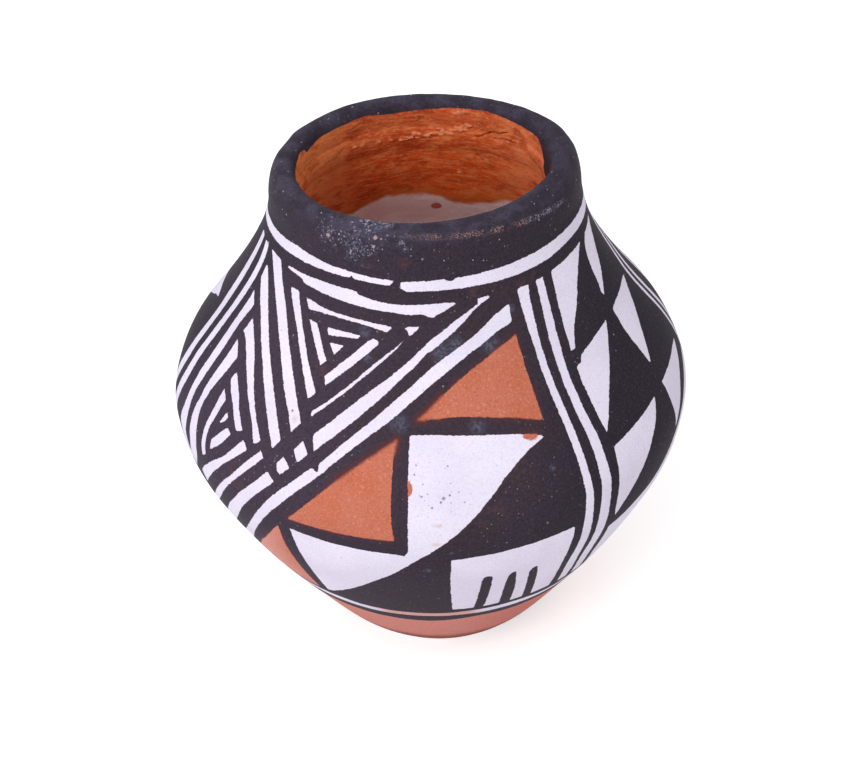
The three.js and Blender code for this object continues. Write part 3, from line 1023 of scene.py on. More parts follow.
white = [patch(p) for p in NESTS + FIELD + LEFT_STRIPES + RIGHT_STRIPES + TRIANGLES]
behind = [moved(patch(p), PANEL_A, PANEL_A_BEHIND) for p in NESTS + FIELD]
for upright in behind[: len(UPRIGHTS)]:
    upright[:, 1] = np.maximum(upright[:, 1], UPRIGHTS_FOOT)
behind[-1] -= SQUARE_SHIFT
white += behind
for i, triangle in enumerate(TRIANGLES):
    old, new = (NARROW, NARROW_BEHIND) if i == NARROWED else (PANEL_B, PANEL_B_BEHIND)
    triangle = moved(patch(triangle), old, new) + LOWER_BEHIND
    white.append(np.clip(triangle, LOWEST_FROM, LOWEST_TO) if i == LOWEST else triangle)
for stripe in RIGHT_STRIPES:
    stripe = patch(stripe)
    stripe[:, 0] += RIGHT_STRIPES_TURN + FLARE * smoothstep(stripe[:, 1], *FLARE_LENGTHS)
    white.append(stripe)
white += [patch(p) + LEFT_STRIPES_TURN for p in LEFT_STRIPES]
strokes = [patch(p) for p in STROKES]
strokes += [moved(stroke, PANEL_A, PANEL_A_BEHIND) - SQUARE_SHIFT for stroke in strokes]
orange = [patch(p) for p in ORANGE + SPILLS]
orange += [moved(patch(p), PANEL_A, PANEL_A_BEHIND) for p in ORANGE]
print(len(white), "white,", len(orange), "orange patches round the pot")

# %% [markdown]
# A finish can't hold all these outlines, but it can read one number at each corner of the mesh. For
# white and for orange, every corner is given how far it lies inside the nearest patch, in
# millimetres, with a minus sign outside. The finish then draws the edge where the number is zero, so
# the edge stays crisp between corners.

# %% How deep in a patch each corner lies
FAR_OUT = -2.0
# Corners further from a patch than this, in degrees and in mm, aren't measured.
NEAR_TURN, NEAR_LENGTH = 8, 2.5
TINY = 1e-12


def depth_in_patches(outlines, turned, length, radius):
    """How far inside the nearest outline each corner lies, in mm, with a minus sign outside."""
    depth = np.full(len(turned), FAR_OUT)
    for outline in outlines:
        middle = (outline[:, 0].min() + outline[:, 0].max()) / 2
        offset = (turned - middle + 180) % 360 - 180
        half = np.ptp(outline[:, 0]) / 2 + NEAR_TURN
        near = (np.abs(offset) < half) & (length > outline[:, 1].min() - NEAR_LENGTH)
        near = np.nonzero(near & (length < outline[:, 1].max() + NEAR_LENGTH))[0]
        across = np.radians(outline[:, 0] - middle - offset[near, None]) * radius[near, None]
        up = outline[:, 1] - length[near, None]
        across_next, up_next = np.roll(across, -1, axis=1), np.roll(up, -1, axis=1)
        run, rise = across_next - across, up_next - up
        share = -(across * run + up * rise) / np.maximum(run**2 + rise**2, TINY)
        share = np.clip(share, 0, 1)
        distance = np.hypot(across + share * run, up + share * rise).min(axis=1)
        crosses = ((up > 0) != (up_next > 0)) & (
            across - up * run / np.where(np.abs(rise) < TINY, TINY, rise) > 0
        )
        inside = crosses.sum(axis=1) % 2 == 1
        depth[near] = np.maximum(depth[near], np.where(inside, distance, -distance))
    return depth


first = white[0]
middle = (first.min(axis=0) + first.max(axis=0)) / 2
inside = depth_in_patches([first], middle[:1], middle[1:], np.array([BELLY[0]]))
print("the middle of the first upright lies", inside.round(2), "mm deep")

# %% [markdown]
# Bands run round the pot: a white ring under the rim, with a gap where the brush wasn't joined up, a
# white line over the orange foot, and the edge of the orange itself. They aren't patches but lines
# of turn and length, wavy as the hand drew them. A corner's depth is how far it lies between the
# two lines of a band, or below the edge of the orange.

# %% The bands that run round the pot
def line_round(knots, turned):
    """A height that changes round the pot, through knots of turn and height."""
    at, height = np.array(knots).T
    return np.interp(turned, at, height, period=360)


RING_TOP = ((-85, 81.1), (-70, 81.4), (-60, 81.6), (-52, 81.9), (-40, 81.6), (-25, 81.3),
            (-10, 80.9), (-8, 80.8), (5.5, 80.9), (7, 80.55), (8.3, 80.55), (9.3, 80.9), (50, 81),
            (72, 81.1), (120, 81.4), (200, 81.1))
RING_BOTTOM = ((-85, 79.8), (-70, 80), (-60, 80.1), (-50, 80.3), (-40, 80.4), (-25.8, 80.5),
               (-25, 80.9), (-24.4, 80.5), (-15, 80.3), (-10, 80.2), (-8, 79.8), (-6.5, 79.5),
               (5, 79.5), (15, 79.4), (30, 79.2), (45, 79.2), (60, 79.5), (120, 79.6), (200, 79.4))
# The gap's two ends in degrees, and how its left end slants, in degrees for each mm up from the middle.
RING_GAP, RING_GAP_SLANT, RING_MIDDLE = (-11, -8.4), 3, 80.6
LINE_TOP = ((-60, 23.4), (-30, 23.4), (-24, 22.8), (0, 22.5), (10, 22.8), (24, 22.8), (32, 22.2),
            (150, 22.6))
LINE_BOTTOM = ((-60, 21.4), (-30, 21.3), (-20, 21), (0, 20.9), (24, 21), (32, 20.8), (150, 21))
FOOT_LINE = ((-40, 18.4), (-18, 18.2), (-4, 17.7), (11, 18.8), (40, 18.6), (150, 18.3))


def in_band(length, turned, top, bottom):
    """How deep between two lines each corner lies, in mm."""
    return np.minimum(line_round(top, turned) - length, length - line_round(bottom, turned))


front_ring = [float(line_round(line, 0)) for line in (RING_TOP, RING_BOTTOM)]
print("ring", round(front_ring[0] - front_ring[1], 2), "mm wide at the front")

# %% [markdown]
# Now both numbers are noted on the body. The far side would be too straight a copy, so its turns and
# lengths are made to sway a little first, as if the hand had drawn it anew.

# %% Painting the body
BEHIND = (98, 112)
# The sway's size (degrees, or mm), waves round the pot, and mm up the wall that shift it.
TURN_SWAY = (1.3, 5, 9)
LENGTH_SWAY = (0.5, 4, 7)
STEADY_TOP = (66, 75)


def paint(coat, lengths):
    """Notes at each corner of a body coat how deep it lies in white and in orange slip."""
    at, row = corners(coat)
    length, turned = lengths[row], front_turn(at)
    radius = np.hypot(at[:, 0], at[:, 1])
    behind = smoothstep(np.abs(turned), *BEHIND)
    size, count, rise = TURN_SWAY
    shifted = turned + behind * size * np.sin(np.radians(turned * count) + length / rise)
    size, count, rise = LENGTH_SWAY
    lift = size * behind * (1 - smoothstep(length, *STEADY_TOP))
    lifted = length + lift * np.sin(np.radians(turned * count) - length / rise)
    gap = RING_GAP[0] + RING_GAP_SLANT * (length - RING_MIDDLE) - turned
    gap = np.maximum(gap, turned - RING_GAP[1])
    ring = np.minimum(in_band(length, turned, RING_TOP, RING_BOTTOM), np.radians(gap) * radius)
    in_white = np.maximum(depth_in_patches(white, shifted, lifted, radius), ring)
    in_white = np.maximum(in_white, in_band(length, turned, LINE_TOP, LINE_BOTTOM))
    in_white = np.minimum(in_white, -depth_in_patches(strokes, shifted, lifted, radius))
    in_orange = depth_in_patches(orange, shifted, lifted, radius)
    in_orange = np.maximum(in_orange, line_round(FOOT_LINE, turned) - length)
    note(coat, "in_white", np.clip(in_white, FAR_OUT, -FAR_OUT))
    note(coat, "in_orange", np.clip(in_orange, FAR_OUT, -FAR_OUT))
    print(coat.name, "white on", round(float((in_white > 0).mean()), 3), "of its corners")


for coat, lengths in body_coats:
    paint(coat, lengths)

# %% [markdown]
# Two more edges go round the mouth. The black paint of the rim ends on the lip in a wavy line, with
# a bite out of it on the left and a run down into the neck on the right, and the brown wash inside
# the neck ends in big waves over the bare clay. The front of the rim is worn along a line.

# %% The edges of the rim paint and of the wash, and the worn line
PAINT_EDGE = ((-180, 91.1), (-165, 91.3), (-145, 91.1), (-125, 91.2), (-118, 91.4), (-112, 91.4),
              (-110.8, 90.8), (-106, 90.5), (-101, 91), (-96, 91.4), (0, 91.4), (60, 92), (80, 96),
              (97, 98), (100.5, 97), (102.5, 94.2), (104.5, 92.7), (107.5, 92.1), (111, 91.6),
              (124, 91.4), (137, 91), (150, 90.7), (170, 90.9))
PAINT_EDGE_WANDER = ((0.2, 4, 24),)
WORN_LINE = ((0, 86.7), (10, 86.5), (22.5, 86.1), (36, 85.7), (58, 85.1))
WASH_EDGE = ((-180, 59.4), (-172.5, 59.5), (-165, 59.7), (-158.5, 58.6), (-152, 57.1),
             (-140, 57.3), (-115, 58.6), (-80, 57.2), (-45, 58.5), (0, 57.3), (40, 58.6),
             (85, 57.6), (120, 58.8), (146, 59.5), (152.5, 58.2), (162.5, 56.8), (169, 57),
             (173, 58.6))


def over_lip(share):
    """The length, up the wall and on over the lip, at a share of the way over it."""
    return np.interp(share, np.linspace(0, 1, LIP_STEPS), OVER_LIP_LENGTHS[len(WALL) - 1 :])


def edge_of_paint(coat, lengths, behind):
    """Notes how far past the rim paint each corner lies. lengths go up the wall and over the lip."""
    at, row = corners(coat)
    length = np.interp(row, np.arange(len(lengths)), lengths, right=behind)
    edge = line_round(PAINT_EDGE, front_turn(at)) + roughness(at * (1, 1, 0), PAINT_EDGE_WANDER)
    note(coat, "past_paint", length - edge)
    return length, front_turn(at)


rim_lengths = np.concatenate([band, over_lip(over)])
length, turned = edge_of_paint(rim_coat, rim_lengths, BODY_HIGH)
note(rim_coat, "off_worn_line", length - line_round(WORN_LINE, np.clip(turned, 0, WORN_LINE[-1][0])))
note(rim_coat, "turned", turned)

down_neck = OVER_LIP_LENGTHS[-1] + WALL_LENGTH - neck
neck_lengths = np.concatenate([over_lip(np.linspace(*LIP_TAIL)), down_neck])
length, turned = edge_of_paint(wash_coat, neck_lengths, down_neck[-1])
note(wash_coat, "over_edge", corners(wash_coat)[0][:, 2] - line_round(WASH_EDGE, turned))
print("rim piece ends", round(float(rim_lengths[-1]), 2), "mm up the wall and over the lip")

# %% [markdown]
# Each finish is a tree of nodes. It could be put together by hand in the shader editor, but here it
# is written down, with a short name for every step that repeats, such as mixing two colours or
# multiplying two masks. Colours are written as they would be picked from a screen.

# %% Plain steps for the finishes
def colour(red, green, blue):
    """A screen colour from 0 to 255 as the light that the render works with."""
    share = np.array((red, green, blue)) / 255
    linear = np.where(share <= 0.04045, share / 12.92, ((share + 0.055) / 1.055) ** 2.4)
    return (*linear, 1)


class NodeSteps:
    """A material that is built up node by node."""

    def __init__(self, name, roughness, specular):
        self.material = bpy.data.materials.new(name)
        self.material.use_nodes = True
        self.tree = self.material.node_tree
        self.shader = self.tree.nodes["Principled BSDF"]
        self.shader.inputs["Roughness"].default_value = roughness
        self.shader.inputs["Specular IOR Level"].default_value = specular
        self.place = self.add("ShaderNodeTexCoord").outputs["Object"]

    def add(self, kind, inputs=(), **settings):
        node = self.tree.nodes.new(kind)
        for name, value in settings.items():
            setattr(node, name, value)
        for name, value in dict(inputs).items():
            self.set(node.inputs[name], value)
        return node

    def set(self, socket, value):
        if isinstance(value, bpy.types.NodeSocket):
            self.tree.links.new(value, socket)
        else:
            socket.default_value = value

    def math(self, operation, first, second=0.0):
        node = self.add("ShaderNodeMath", operation=operation)
        self.set(node.inputs[0], first)
        self.set(node.inputs[1], second)
        return node.outputs[0]

    def times(self, first, second):
        return self.math("MULTIPLY", first, second)

    def plus(self, first, second):
        return self.math("ADD", first, second)

    def mix(self, share, first, second):
        node = self.add("ShaderNodeMix", data_type="RGBA")
        self.set(node.inputs["Factor"], share)
        self.set(node.inputs[6], first)
        self.set(node.inputs[7], second)
        return node.outputs[2]

    def tint(self, base, mask, screen_colour):
        """The base with a colour over it, as strong as the mask."""
        return self.mix(mask, base, colour(*screen_colour))

    def ramp(self, value, low, high, start=0.0, end=1.0):
        """Turns low to high into start to end, smoothly, and stops there."""
        inputs = {"Value": value, "From Min": low, "From Max": high, "To Min": start, "To Max": end}
        return self.add("ShaderNodeMapRange", inputs, interpolation_type="SMOOTHSTEP").outputs[0]

    def attribute(self, name):
        """The number that was noted at each corner under that name."""
        return self.add("ShaderNodeAttribute", attribute_name=name).outputs["Fac"]


print("half of the light looks like", (188, 188, 188), "which is", round(colour(188, 188, 188)[0], 2))

# %% [markdown]
# Clay and paint are never one flat colour. Noise gives blots, streaks and grain at their real size
# in millimetres, specks are dots in some cells of a Voronoi pattern, and marks that sit at one
# place, such as a smudge, are spots round a point of the surface.

# %% Noise, specks and places
class Finish(NodeSteps):
    """A finish with patterns in it, for one or more pieces."""

    def noise(self, size, detail=3.0, stretch=(1, 1, 1), seed=0.0, warp=0.0):
        """Noise from 0 to 1 with blots about size mm across, warped if asked."""
        mapping = {"Vector": self.place, "Scale": stretch, "Location": (seed, seed * 0.7, -seed)}
        vector = self.add("ShaderNodeMapping", mapping).outputs[0]
        inputs = {"Vector": vector, "Scale": 1 / (size * MM), "Detail": detail, "Distortion": warp}
        return self.add("ShaderNodeTexNoise", inputs).outputs["Fac"]

    def specks(self, gap, size, share, seed=0.0):
        """Round specks, size mm across at most, in that share of the cells gap mm wide."""
        mapping = {"Vector": self.place, "Location": (seed, -seed, seed * 0.3)}
        vector = self.add("ShaderNodeMapping", mapping).outputs[0]
        cells = self.add("ShaderNodeTexVoronoi", {"Vector": vector, "Scale": 1 / (gap * MM)})
        draw = self.add("ShaderNodeSeparateColor", {"Color": cells.outputs["Color"]}).outputs
        reach = self.times(draw[1], size / 2 / gap)
        near = self.math("SUBTRACT", reach, cells.outputs["Distance"])
        chosen = self.ramp(draw[0], 1 - share, 1.001 - share)
        return self.times(self.ramp(near, 0, 0.06), chosen)

    def near(self, turned, length, reach, flat=1.0, inside=False):
        """1 at a place on the wall, falling to 0 at reach mm from it (flat: less, up and down)."""
        spot = on_outline(turned, length)
        if inside:
            radius, height = in_wall(length, inside_depth(length))
            spot = np.array([*(spot[:2] * radius / np.hypot(*spot[:2])), height])
        spot = Vector(hand_turned(spot[None])[0] * MM)
        inputs = {0: self.place, 1: spot}
        away = self.add("ShaderNodeVectorMath", inputs, operation="SUBTRACT").outputs[0]
        inputs = {0: away, 1: (1, 1, flat)}
        away = self.add("ShaderNodeVectorMath", inputs, operation="MULTIPLY").outputs[0]
        length = self.add("ShaderNodeVectorMath", {0: away}, operation="LENGTH").outputs["Value"]
        return self.ramp(length, 0, reach * MM, 1, 0)

    def any(self, masks):
        """The largest of several masks."""
        largest = masks[0]
        for mask in masks[1:]:
            largest = self.math("MAXIMUM", largest, mask)
        return largest

    def near_any(self, places, inside=False):
        """The same as near, for several places, each with what near asks for."""
        return self.any([self.near(*place, inside=inside) for place in places])

    def bump(self, height, strength, distance):
        inputs = {"Height": height, "Strength": strength, "Distance": distance * MM}
        self.set(self.shader.inputs["Normal"], self.add("ShaderNodeBump", inputs).outputs[0])

    def lay_on(self, pieces, surface):
        """Takes the colour of the surface, and covers the pieces."""
        self.set(self.shader.inputs["Base Color"], surface)
        for piece in pieces:
            piece.data.materials.append(self.material)
        print(self.material.name, "has", len(self.tree.nodes), "nodes, on", len(pieces), "pieces")


print("a finish can be given", [step for step in vars(Finish) if not step.startswith("_")])

# %% [markdown]
# The white slip is a fine clay, faintly violet under this light, with small pits and grains. The
# black paint is plant juice and iron ore: it is brown where it is thin, along its edges, and dusty in
# places. Each colour is a function, because most are shared by two or more pieces, and their join
# only disappears if both have the very same colour there.

# %% White slip and black paint
WHITE_SLIP = (239, 231, 249)
BLACK_PAINT = (60, 51, 62)


def white_slip(f):
    """Faintly clouded, with a fine grain and two sizes of specks."""
    base = f.mix(f.ramp(f.noise(9, 2), 0.35, 0.65), colour(*WHITE_SLIP), colour(231, 223, 242))
    base = f.tint(base, f.ramp(f.noise(0.3, 2), 0.35, 0.72, 0, 0.32), (204, 194, 220))
    base = f.tint(base, f.times(f.specks(0.5, 0.24, 0.3, 16), 0.4), (146, 130, 152))
    return f.tint(base, f.times(f.specks(1.6, 0.4, 0.3), 0.45), (150, 130, 150))


def black_paint(f):
    """Brownish, with painted sheen and shade on the body and on top of the rim, a fine grain and
    specks.
    """
    place = f.add("ShaderNodeSeparateXYZ", {"Vector": f.place}).outputs
    base = f.mix(f.ramp(f.noise(4.5, 3), 0.4, 0.64), colour(*BLACK_PAINT), colour(62, 51, 59))
    # Painted sheen and shade: lighter to the left, where the lamp is, and darker to the right. The
    # black is also made darker towards the sides, above 64 mm and below 46 mm up.
    base = f.tint(base, f.ramp(place[0], -28 * MM, 2 * MM, 1, 0), (70, 59, 74))
    base = f.tint(base, f.ramp(place[0], 8 * MM, 26 * MM, 0, 0.85), (43, 39, 48))
    base = f.tint(base, f.ramp(place[1], -15 * MM, -4 * MM, 0, 0.7), (44, 40, 50))
    base = f.tint(base, f.ramp(place[2], 64 * MM, 69 * MM, 0, 0.5), (50, 44, 54))
    base = f.tint(base, f.ramp(place[2], 38 * MM, 46 * MM, 0.35, 0), (46, 40, 51))
    # On top of the rim the black is bluish and lighter in clouds, a painted sheen, with painted shade
    # to the right.
    cloudy = f.ramp(f.noise(2.6, 3, (1, 1, 2), 46), 0.36, 0.66)
    top = f.mix(cloudy, colour(56, 50, 62), colour(73, 67, 84))
    top = f.tint(top, f.ramp(place[0], 10 * MM, 24 * MM, 0, 0.55), (42, 39, 49))
    base = f.mix(f.ramp(place[2], 74.5 * MM, 77 * MM), base, top)
    base = f.tint(base, f.ramp(f.noise(0.3, 3, seed=3), 0.45, 0.75, 0, 0.3), (88, 77, 90))
    base = f.tint(base, f.ramp(f.noise(0.4, 3, seed=7), 0.45, 0.75, 0, 0.45), (38, 33, 41))
    base = f.tint(base, f.times(f.specks(0.55, 0.24, 0.3, 4), 0.5), (146, 138, 154))
    return f.tint(base, f.times(f.specks(1.6, 0.4, 0.5, 14), 0.5), (172, 164, 178))


print("in the light, white is", np.round(colour(*WHITE_SLIP)[:3], 2))
print("and black", np.round(colour(*BLACK_PAINT)[:3], 2))

# %% [markdown]
# The orange slip is grainy and warm, and pinker low down. The wash in the neck is the same kind of
# clay, thin and browner, and brushed on in level streaks. Beyond the black paint on the lip its
# colour takes over, so both pieces there also share the line where that happens.

# %% Orange slip and brown wash
ORANGE_SLIP = (197, 115, 93)
BROWN_WASH = (214, 88, 35)


def orange_slip(f):
    """Pinker towards the foot; lighter and pinker to the left, a painted sheen; darker right of the
    front low down, a painted shade; with light and dark grains.
    """
    side, depth, height = f.add("ShaderNodeSeparateXYZ", {"Vector": f.place}).outputs
    blots = f.ramp(f.noise(5, 3, seed=8), 0.38, 0.62)
    base = f.mix(blots, colour(*ORANGE_SLIP), colour(194, 109, 83))
    base = f.tint(base, f.ramp(height, 35 * MM, 43 * MM, 0.5, 0), (190, 103, 76))
    base = f.tint(base, f.ramp(height, 20 * MM, 34 * MM, 1, 0), (211, 139, 130))
    # Painted sheen: lighter and pinker to the left, where the lamp is.
    base = f.tint(base, f.ramp(side, -26 * MM, -18 * MM, 1, 0), (221, 156, 148))
    # Painted shade: darker right of the front, low down.
    shade_right_of_foot = f.times(f.ramp(side, 0, 12 * MM), f.ramp(height, 20 * MM, 26 * MM, 1, 0))
    base = f.tint(base, shade_right_of_foot, (200, 122, 112))
    base = f.tint(base, f.ramp(f.noise(0.32, 3, seed=9), 0.48, 0.75, 0, 0.45), (158, 84, 66))
    base = f.tint(base, f.ramp(f.noise(0.3, 3, seed=12), 0.5, 0.75, 0, 0.5), (222, 152, 130))
    base = f.tint(base, f.times(f.specks(0.8, 0.26, 0.25, 10), 0.28), (232, 184, 164))
    return f.tint(base, f.times(f.specks(0.6, 0.26, 0.4, 11), 0.5), (120, 60, 48))


def brown_wash(f):
    """Lighter low down and to both sides, which is painted light in the shaded neck, and brushed on in
    level streaks.
    """
    side, depth, height = f.add("ShaderNodeSeparateXYZ", {"Vector": f.place}).outputs
    base = f.mix(f.ramp(height, 66 * MM, 75 * MM), colour(*BROWN_WASH), colour(196, 90, 50))
    # Painted light: lighter low down and to both sides, where the inside of the neck lies in shade.
    base = f.tint(base, f.ramp(height, 57 * MM, 65 * MM, 1, 0), (234, 106, 42))
    base = f.tint(base, f.ramp(side, -19 * MM, -7 * MM, 0.95, 0), (255, 150, 88))
    base = f.tint(base, f.ramp(side, 9 * MM, 17 * MM, 0, 0.7), (238, 132, 88))
    blots = f.noise(4, 5, (1, 1, 1.8), 32, 0.5)
    base = f.tint(base, f.ramp(blots, 0.5, 0.64, 0, 0.6), (160, 56, 24))
    base = f.tint(base, f.ramp(blots, 0.34, 0.48, 0.55, 0), (226, 136, 76))
    streaks = f.noise(2.2, 5, (1, 1, 5), 36, 0.4)
    base = f.tint(base, f.ramp(streaks, 0.52, 0.66, 0, 0.5), (230, 144, 90))
    base = f.tint(base, f.ramp(streaks, 0.32, 0.46, 0.4, 0), (158, 54, 22))
    grain = f.noise(0.6, 4, (1, 1, 3), 38)
    base = f.tint(base, f.ramp(grain, 0.54, 0.74, 0, 0.5), (238, 164, 120))
    return f.tint(base, f.ramp(grain, 0.26, 0.46, 0.45, 0), (128, 46, 24))


def beyond_paint(f):
    """0 on the black paint of the rim, 1 past its end."""
    ragged = f.times(f.noise(0.8, 3, seed=45), 0.3)
    return f.ramp(f.plus(f.attribute("past_paint"), ragged), 0.05, 0.22)


print("in the light, orange is", np.round(colour(*ORANGE_SLIP)[:3], 2))
print("and the wash", np.round(colour(*BROWN_WASH)[:3], 2))

# %% [markdown]
# The painted body mixes white, black and orange by the two numbers at each corner. A little noise is
# added to the numbers first, so the edges are as uneven as a brush leaves them.

# %% The edges of the paint on the body
SPECULAR = 0.03
painted = Finish("painted_slip", 0.62, SPECULAR)
wander = painted.math("SUBTRACT", painted.noise(1.3, 3, seed=20), 0.5)
rough = painted.math("SUBTRACT", painted.noise(0.35, 2, seed=26), 0.5)
rough = painted.times(rough, 0.26)
wander = painted.plus(painted.times(wander, 0.24), rough)
white_depth = painted.plus(painted.attribute("in_white"), wander)
orange_depth = painted.plus(painted.attribute("in_orange"), wander)
print("edges drawn by", len(painted.tree.nodes), "nodes")

# %% [markdown]
# The black has bluish dust on it, specks, and a brown blush where it is thin. Beside a white patch it
# has a thin brown fringe, and in places, where it meets orange, its edge is a soft dark red. All these
# places are given one by one, because the wear of a real pot isn't the same all over.

# %% Black paint on the body
# Turn, length and reach of places with bluish dust, with many specks, with a brown blush, and where
# the edge of the orange is soft.
SMUDGES = ((3, 71.5, 2), (7, 72.1, 1.8), (17, 71.5, 1.9), (-19, 73.8, 1.1), (-17.5, 70.4, 0.9),
           (-8, 62.2, 1.8), (10, 61.3, 1.6), (2.5, 43.7, 0.45), (-2.5, 39.8, 0.7), (24.5, 54, 0.7),
           (26, 75.3, 0.9))
SPECKLED = ((-48, 49, 7), (-34, 54, 6), (12, 51, 9), (22, 57, 7), (-58, 44, 5), (-20, 56, 4))
BLUSHES = ((31.5, 77.9, 1.6), (37, 78.2, 1.3), (24, 78.4, 1.8), (15, 78.7, 1.8), (18, 54.8, 3),
           (11, 50, 3.4), (-30, 68, 3), (-45, 49, 5))
SOFT = ((-1, 65.2, 3.2), (-4.5, 63, 3), (-9.5, 60, 3.2), (-14, 57.8, 3.2), (-19, 55, 3))
powder = painted.near_any(SMUDGES)
powder = painted.times(powder, painted.ramp(painted.noise(0.4, 4, seed=24), 0.28, 0.68))
black = painted.mix(powder, black_paint(painted), colour(92, 93, 113))
blush = painted.near_any(BLUSHES)
blush = painted.times(blush, painted.ramp(painted.noise(0.8, 5, seed=27), 0.4, 0.7))
black = painted.tint(black, painted.times(blush, 0.6), (96, 66, 64))
speckled = painted.ramp(painted.near_any(SPECKLED), 0, 0.5)
speckled = painted.times(speckled, painted.specks(0.5, 0.26, 0.4, 15))
black = painted.tint(black, painted.times(speckled, 0.55), (160, 150, 162))
black = painted.tint(black, painted.ramp(white_depth, -0.2, 0.0, 0, 0.45), (80, 54, 50))
soft = painted.ramp(painted.near_any(SOFT), 0, 0.5)
soft = painted.any([soft, painted.ramp(painted.noise(5, 2, seed=21), 0.45, 0.6, 0.1, 0.5)])
halo = painted.times(painted.ramp(orange_depth, -1.1, 0.1), soft)
black = painted.tint(black, painted.times(halo, 0.8), (102, 49, 46))
print("with black,", len(painted.tree.nodes), "nodes")

# %% [markdown]
# In the white, the pits are dark, and so are specks in a field round them, orange has smeared in
# three places, and a pinkish stain crosses the line over the foot. Then the three are laid over each
# other in the order of the painting: black round white, and orange over both.

# %% White slip, and the whole finish of the body
pits = painted.any([painted.near(turned, up, 0.95 * size) for turned, up, size in PITS])
pitted = painted.times(painted.near(0, 53, 8), painted.specks(0.5, 0.26, 0.6, 17))
pitted = painted.times(pitted, 0.9)
pits = painted.math("MAXIMUM", painted.ramp(pits, 0, 0.7, 0, 0.85), pitted)
slip = painted.mix(pits, white_slip(painted), colour(96, 88, 116))
smears = painted.near_any([(0, 48.7, 1.0, 2.2), (-0.5, 45.5, 1.1, 2.5), (-33.6, 60.3, 0.7)])
slip = painted.tint(slip, painted.times(smears, 0.45), (206, 168, 134))
stain = painted.ramp(painted.near(-4, 22, 11, 4), 0.08, 0.5, 0, 0.85)
slip = painted.tint(slip, stain, (212, 152, 142))

surface = painted.mix(painted.ramp(white_depth, -0.03, 0.03), black, slip)
blurred = painted.times(soft, 0.32)
covered = painted.ramp(orange_depth, painted.times(blurred, -1), blurred)
surface = painted.mix(covered, surface, orange_slip(painted))
grain = painted.plus(painted.noise(0.25, 3, seed=22), painted.noise(1.2, 3, seed=23))
painted.bump(grain, 0.35, 0.05)
painted.lay_on([coat for coat, lengths in body_coats], surface)

# %% [markdown]
# The foot keeps its orange slip, with painted shade low down where it turns under towards the table.
# The edge of the painted shade is a height with some noise added, since a straight line round the foot
# would look machined.

# %% Finish of the foot
foot_finish = Finish("orange_foot_slip", 0.68, SPECULAR)
height = foot_finish.add("ShaderNodeSeparateXYZ", {"Vector": foot_finish.place}).outputs[2]
height = foot_finish.plus(height, foot_finish.times(foot_finish.noise(2), 1.2 * MM))
# Painted shade low on the foot, where it turns under.
shaded_foot_bottom = foot_finish.ramp(height, 5 * MM, 8 * MM, 0.8, 0)
foot_colour = foot_finish.mix(shaded_foot_bottom, orange_slip(foot_finish), colour(124, 58, 52))
foot_finish.bump(foot_finish.noise(0.4, 4), 0.35, 0.06)
foot_finish.lay_on([foot_coat], foot_colour)

# %% [markdown]
# The rim is where hands and dust got at the black. On the left of the front lies a cloud of pale dust
# with grains in it, streaked where a rag went over the lip, and below it the red slip shows through.

# %% Dust, streaks and red marks on the rim
RED_MARKS = ((-19.5, 82.3, 1.3), (-7, 83.3, 1.3), (-30, 81.9, 0.8))
DUST = ((-24, 85.4, 5), (-17, 87.5, 3.4, 1.6), (-35, 86.2, 3), (-8, 86.3, 2.4))
STREAKS = ((-21, 88.7, 1.5, 2.5), (-14, 89, 1.7, 3), (-19, 87.6, 0.9))
rim = Finish("black_rim_paint", 0.58, SPECULAR)
black = black_paint(rim)
red = rim.near_any(RED_MARKS)
red = rim.times(red, rim.ramp(rim.noise(0.5, 4, seed=40), 0.3, 0.65))
black = rim.tint(black, rim.times(red, 0.42), (108, 62, 66))
patchy = rim.ramp(rim.noise(1.5, 3, seed=47), 0.38, 0.6)
cloud = rim.times(rim.near_any(DUST), patchy)
powder = rim.times(cloud, rim.ramp(rim.noise(0.4, 6, seed=41), 0.42, 0.8))
black = rim.tint(black, rim.times(powder, 0.75), (126, 134, 164))
streaks = rim.near_any(STREAKS)
streaks = rim.times(streaks, rim.ramp(rim.noise(0.35, 5, seed=42), 0.48, 0.64))
black = rim.tint(black, rim.times(streaks, 0.85), (180, 188, 212))
grains = rim.ramp(rim.noise(0.22, 3, seed=43), 0.62, 0.68)
grains = rim.times(grains, rim.ramp(cloud, 0.08, 0.45))
black = rim.tint(black, rim.times(grains, 0.8), (200, 194, 204))
print("rim so far", len(rim.tree.nodes), "nodes")

# %% [markdown]
# To the right of the dust the paint is worn along a line: pinkish grains, bluish further round. The
# crumbs are rubbed pale on top, and specks lie all over. Past its end on the lip the wash shows, and
# the crumbs there have a painted highlight on top.

# %% The worn line, crumbs and specks of the rim
worn = rim.math("ABSOLUTE", rim.attribute("off_worn_line"))
grains = rim.ramp(rim.noise(0.16, 2, seed=44), 0.46, 0.64)
grains = rim.times(grains, rim.ramp(worn, 0.1, 0.6, 1, 0))
grains = rim.times(grains, rim.ramp(rim.noise(1.8, 2, seed=49), 0.34, 0.52))
front = rim.ramp(rim.attribute("turned"), -12, 8)
front = rim.times(front, rim.ramp(rim.attribute("turned"), 56, 62, 1, 0))
bluish = rim.ramp(rim.attribute("turned"), 36, 42)
grain_colour = rim.mix(bluish, colour(172, 134, 128), colour(168, 168, 186))
black = rim.mix(rim.times(rim.times(grains, front), 0.75), black, grain_colour)
specks = rim.times(rim.specks(0.7, 0.28, 0.5, 48), 0.65)
black = rim.tint(black, specks, (196, 188, 202))
raised = rim.math("SUBTRACT", rim.attribute("marks"), rim.ramp(rim.noise(0.3), 0.3, 0.7, 0, 0.1))
black = rim.tint(black, rim.ramp(raised, 0.02, 0.14, 0, 0.75), (190, 160, 160))
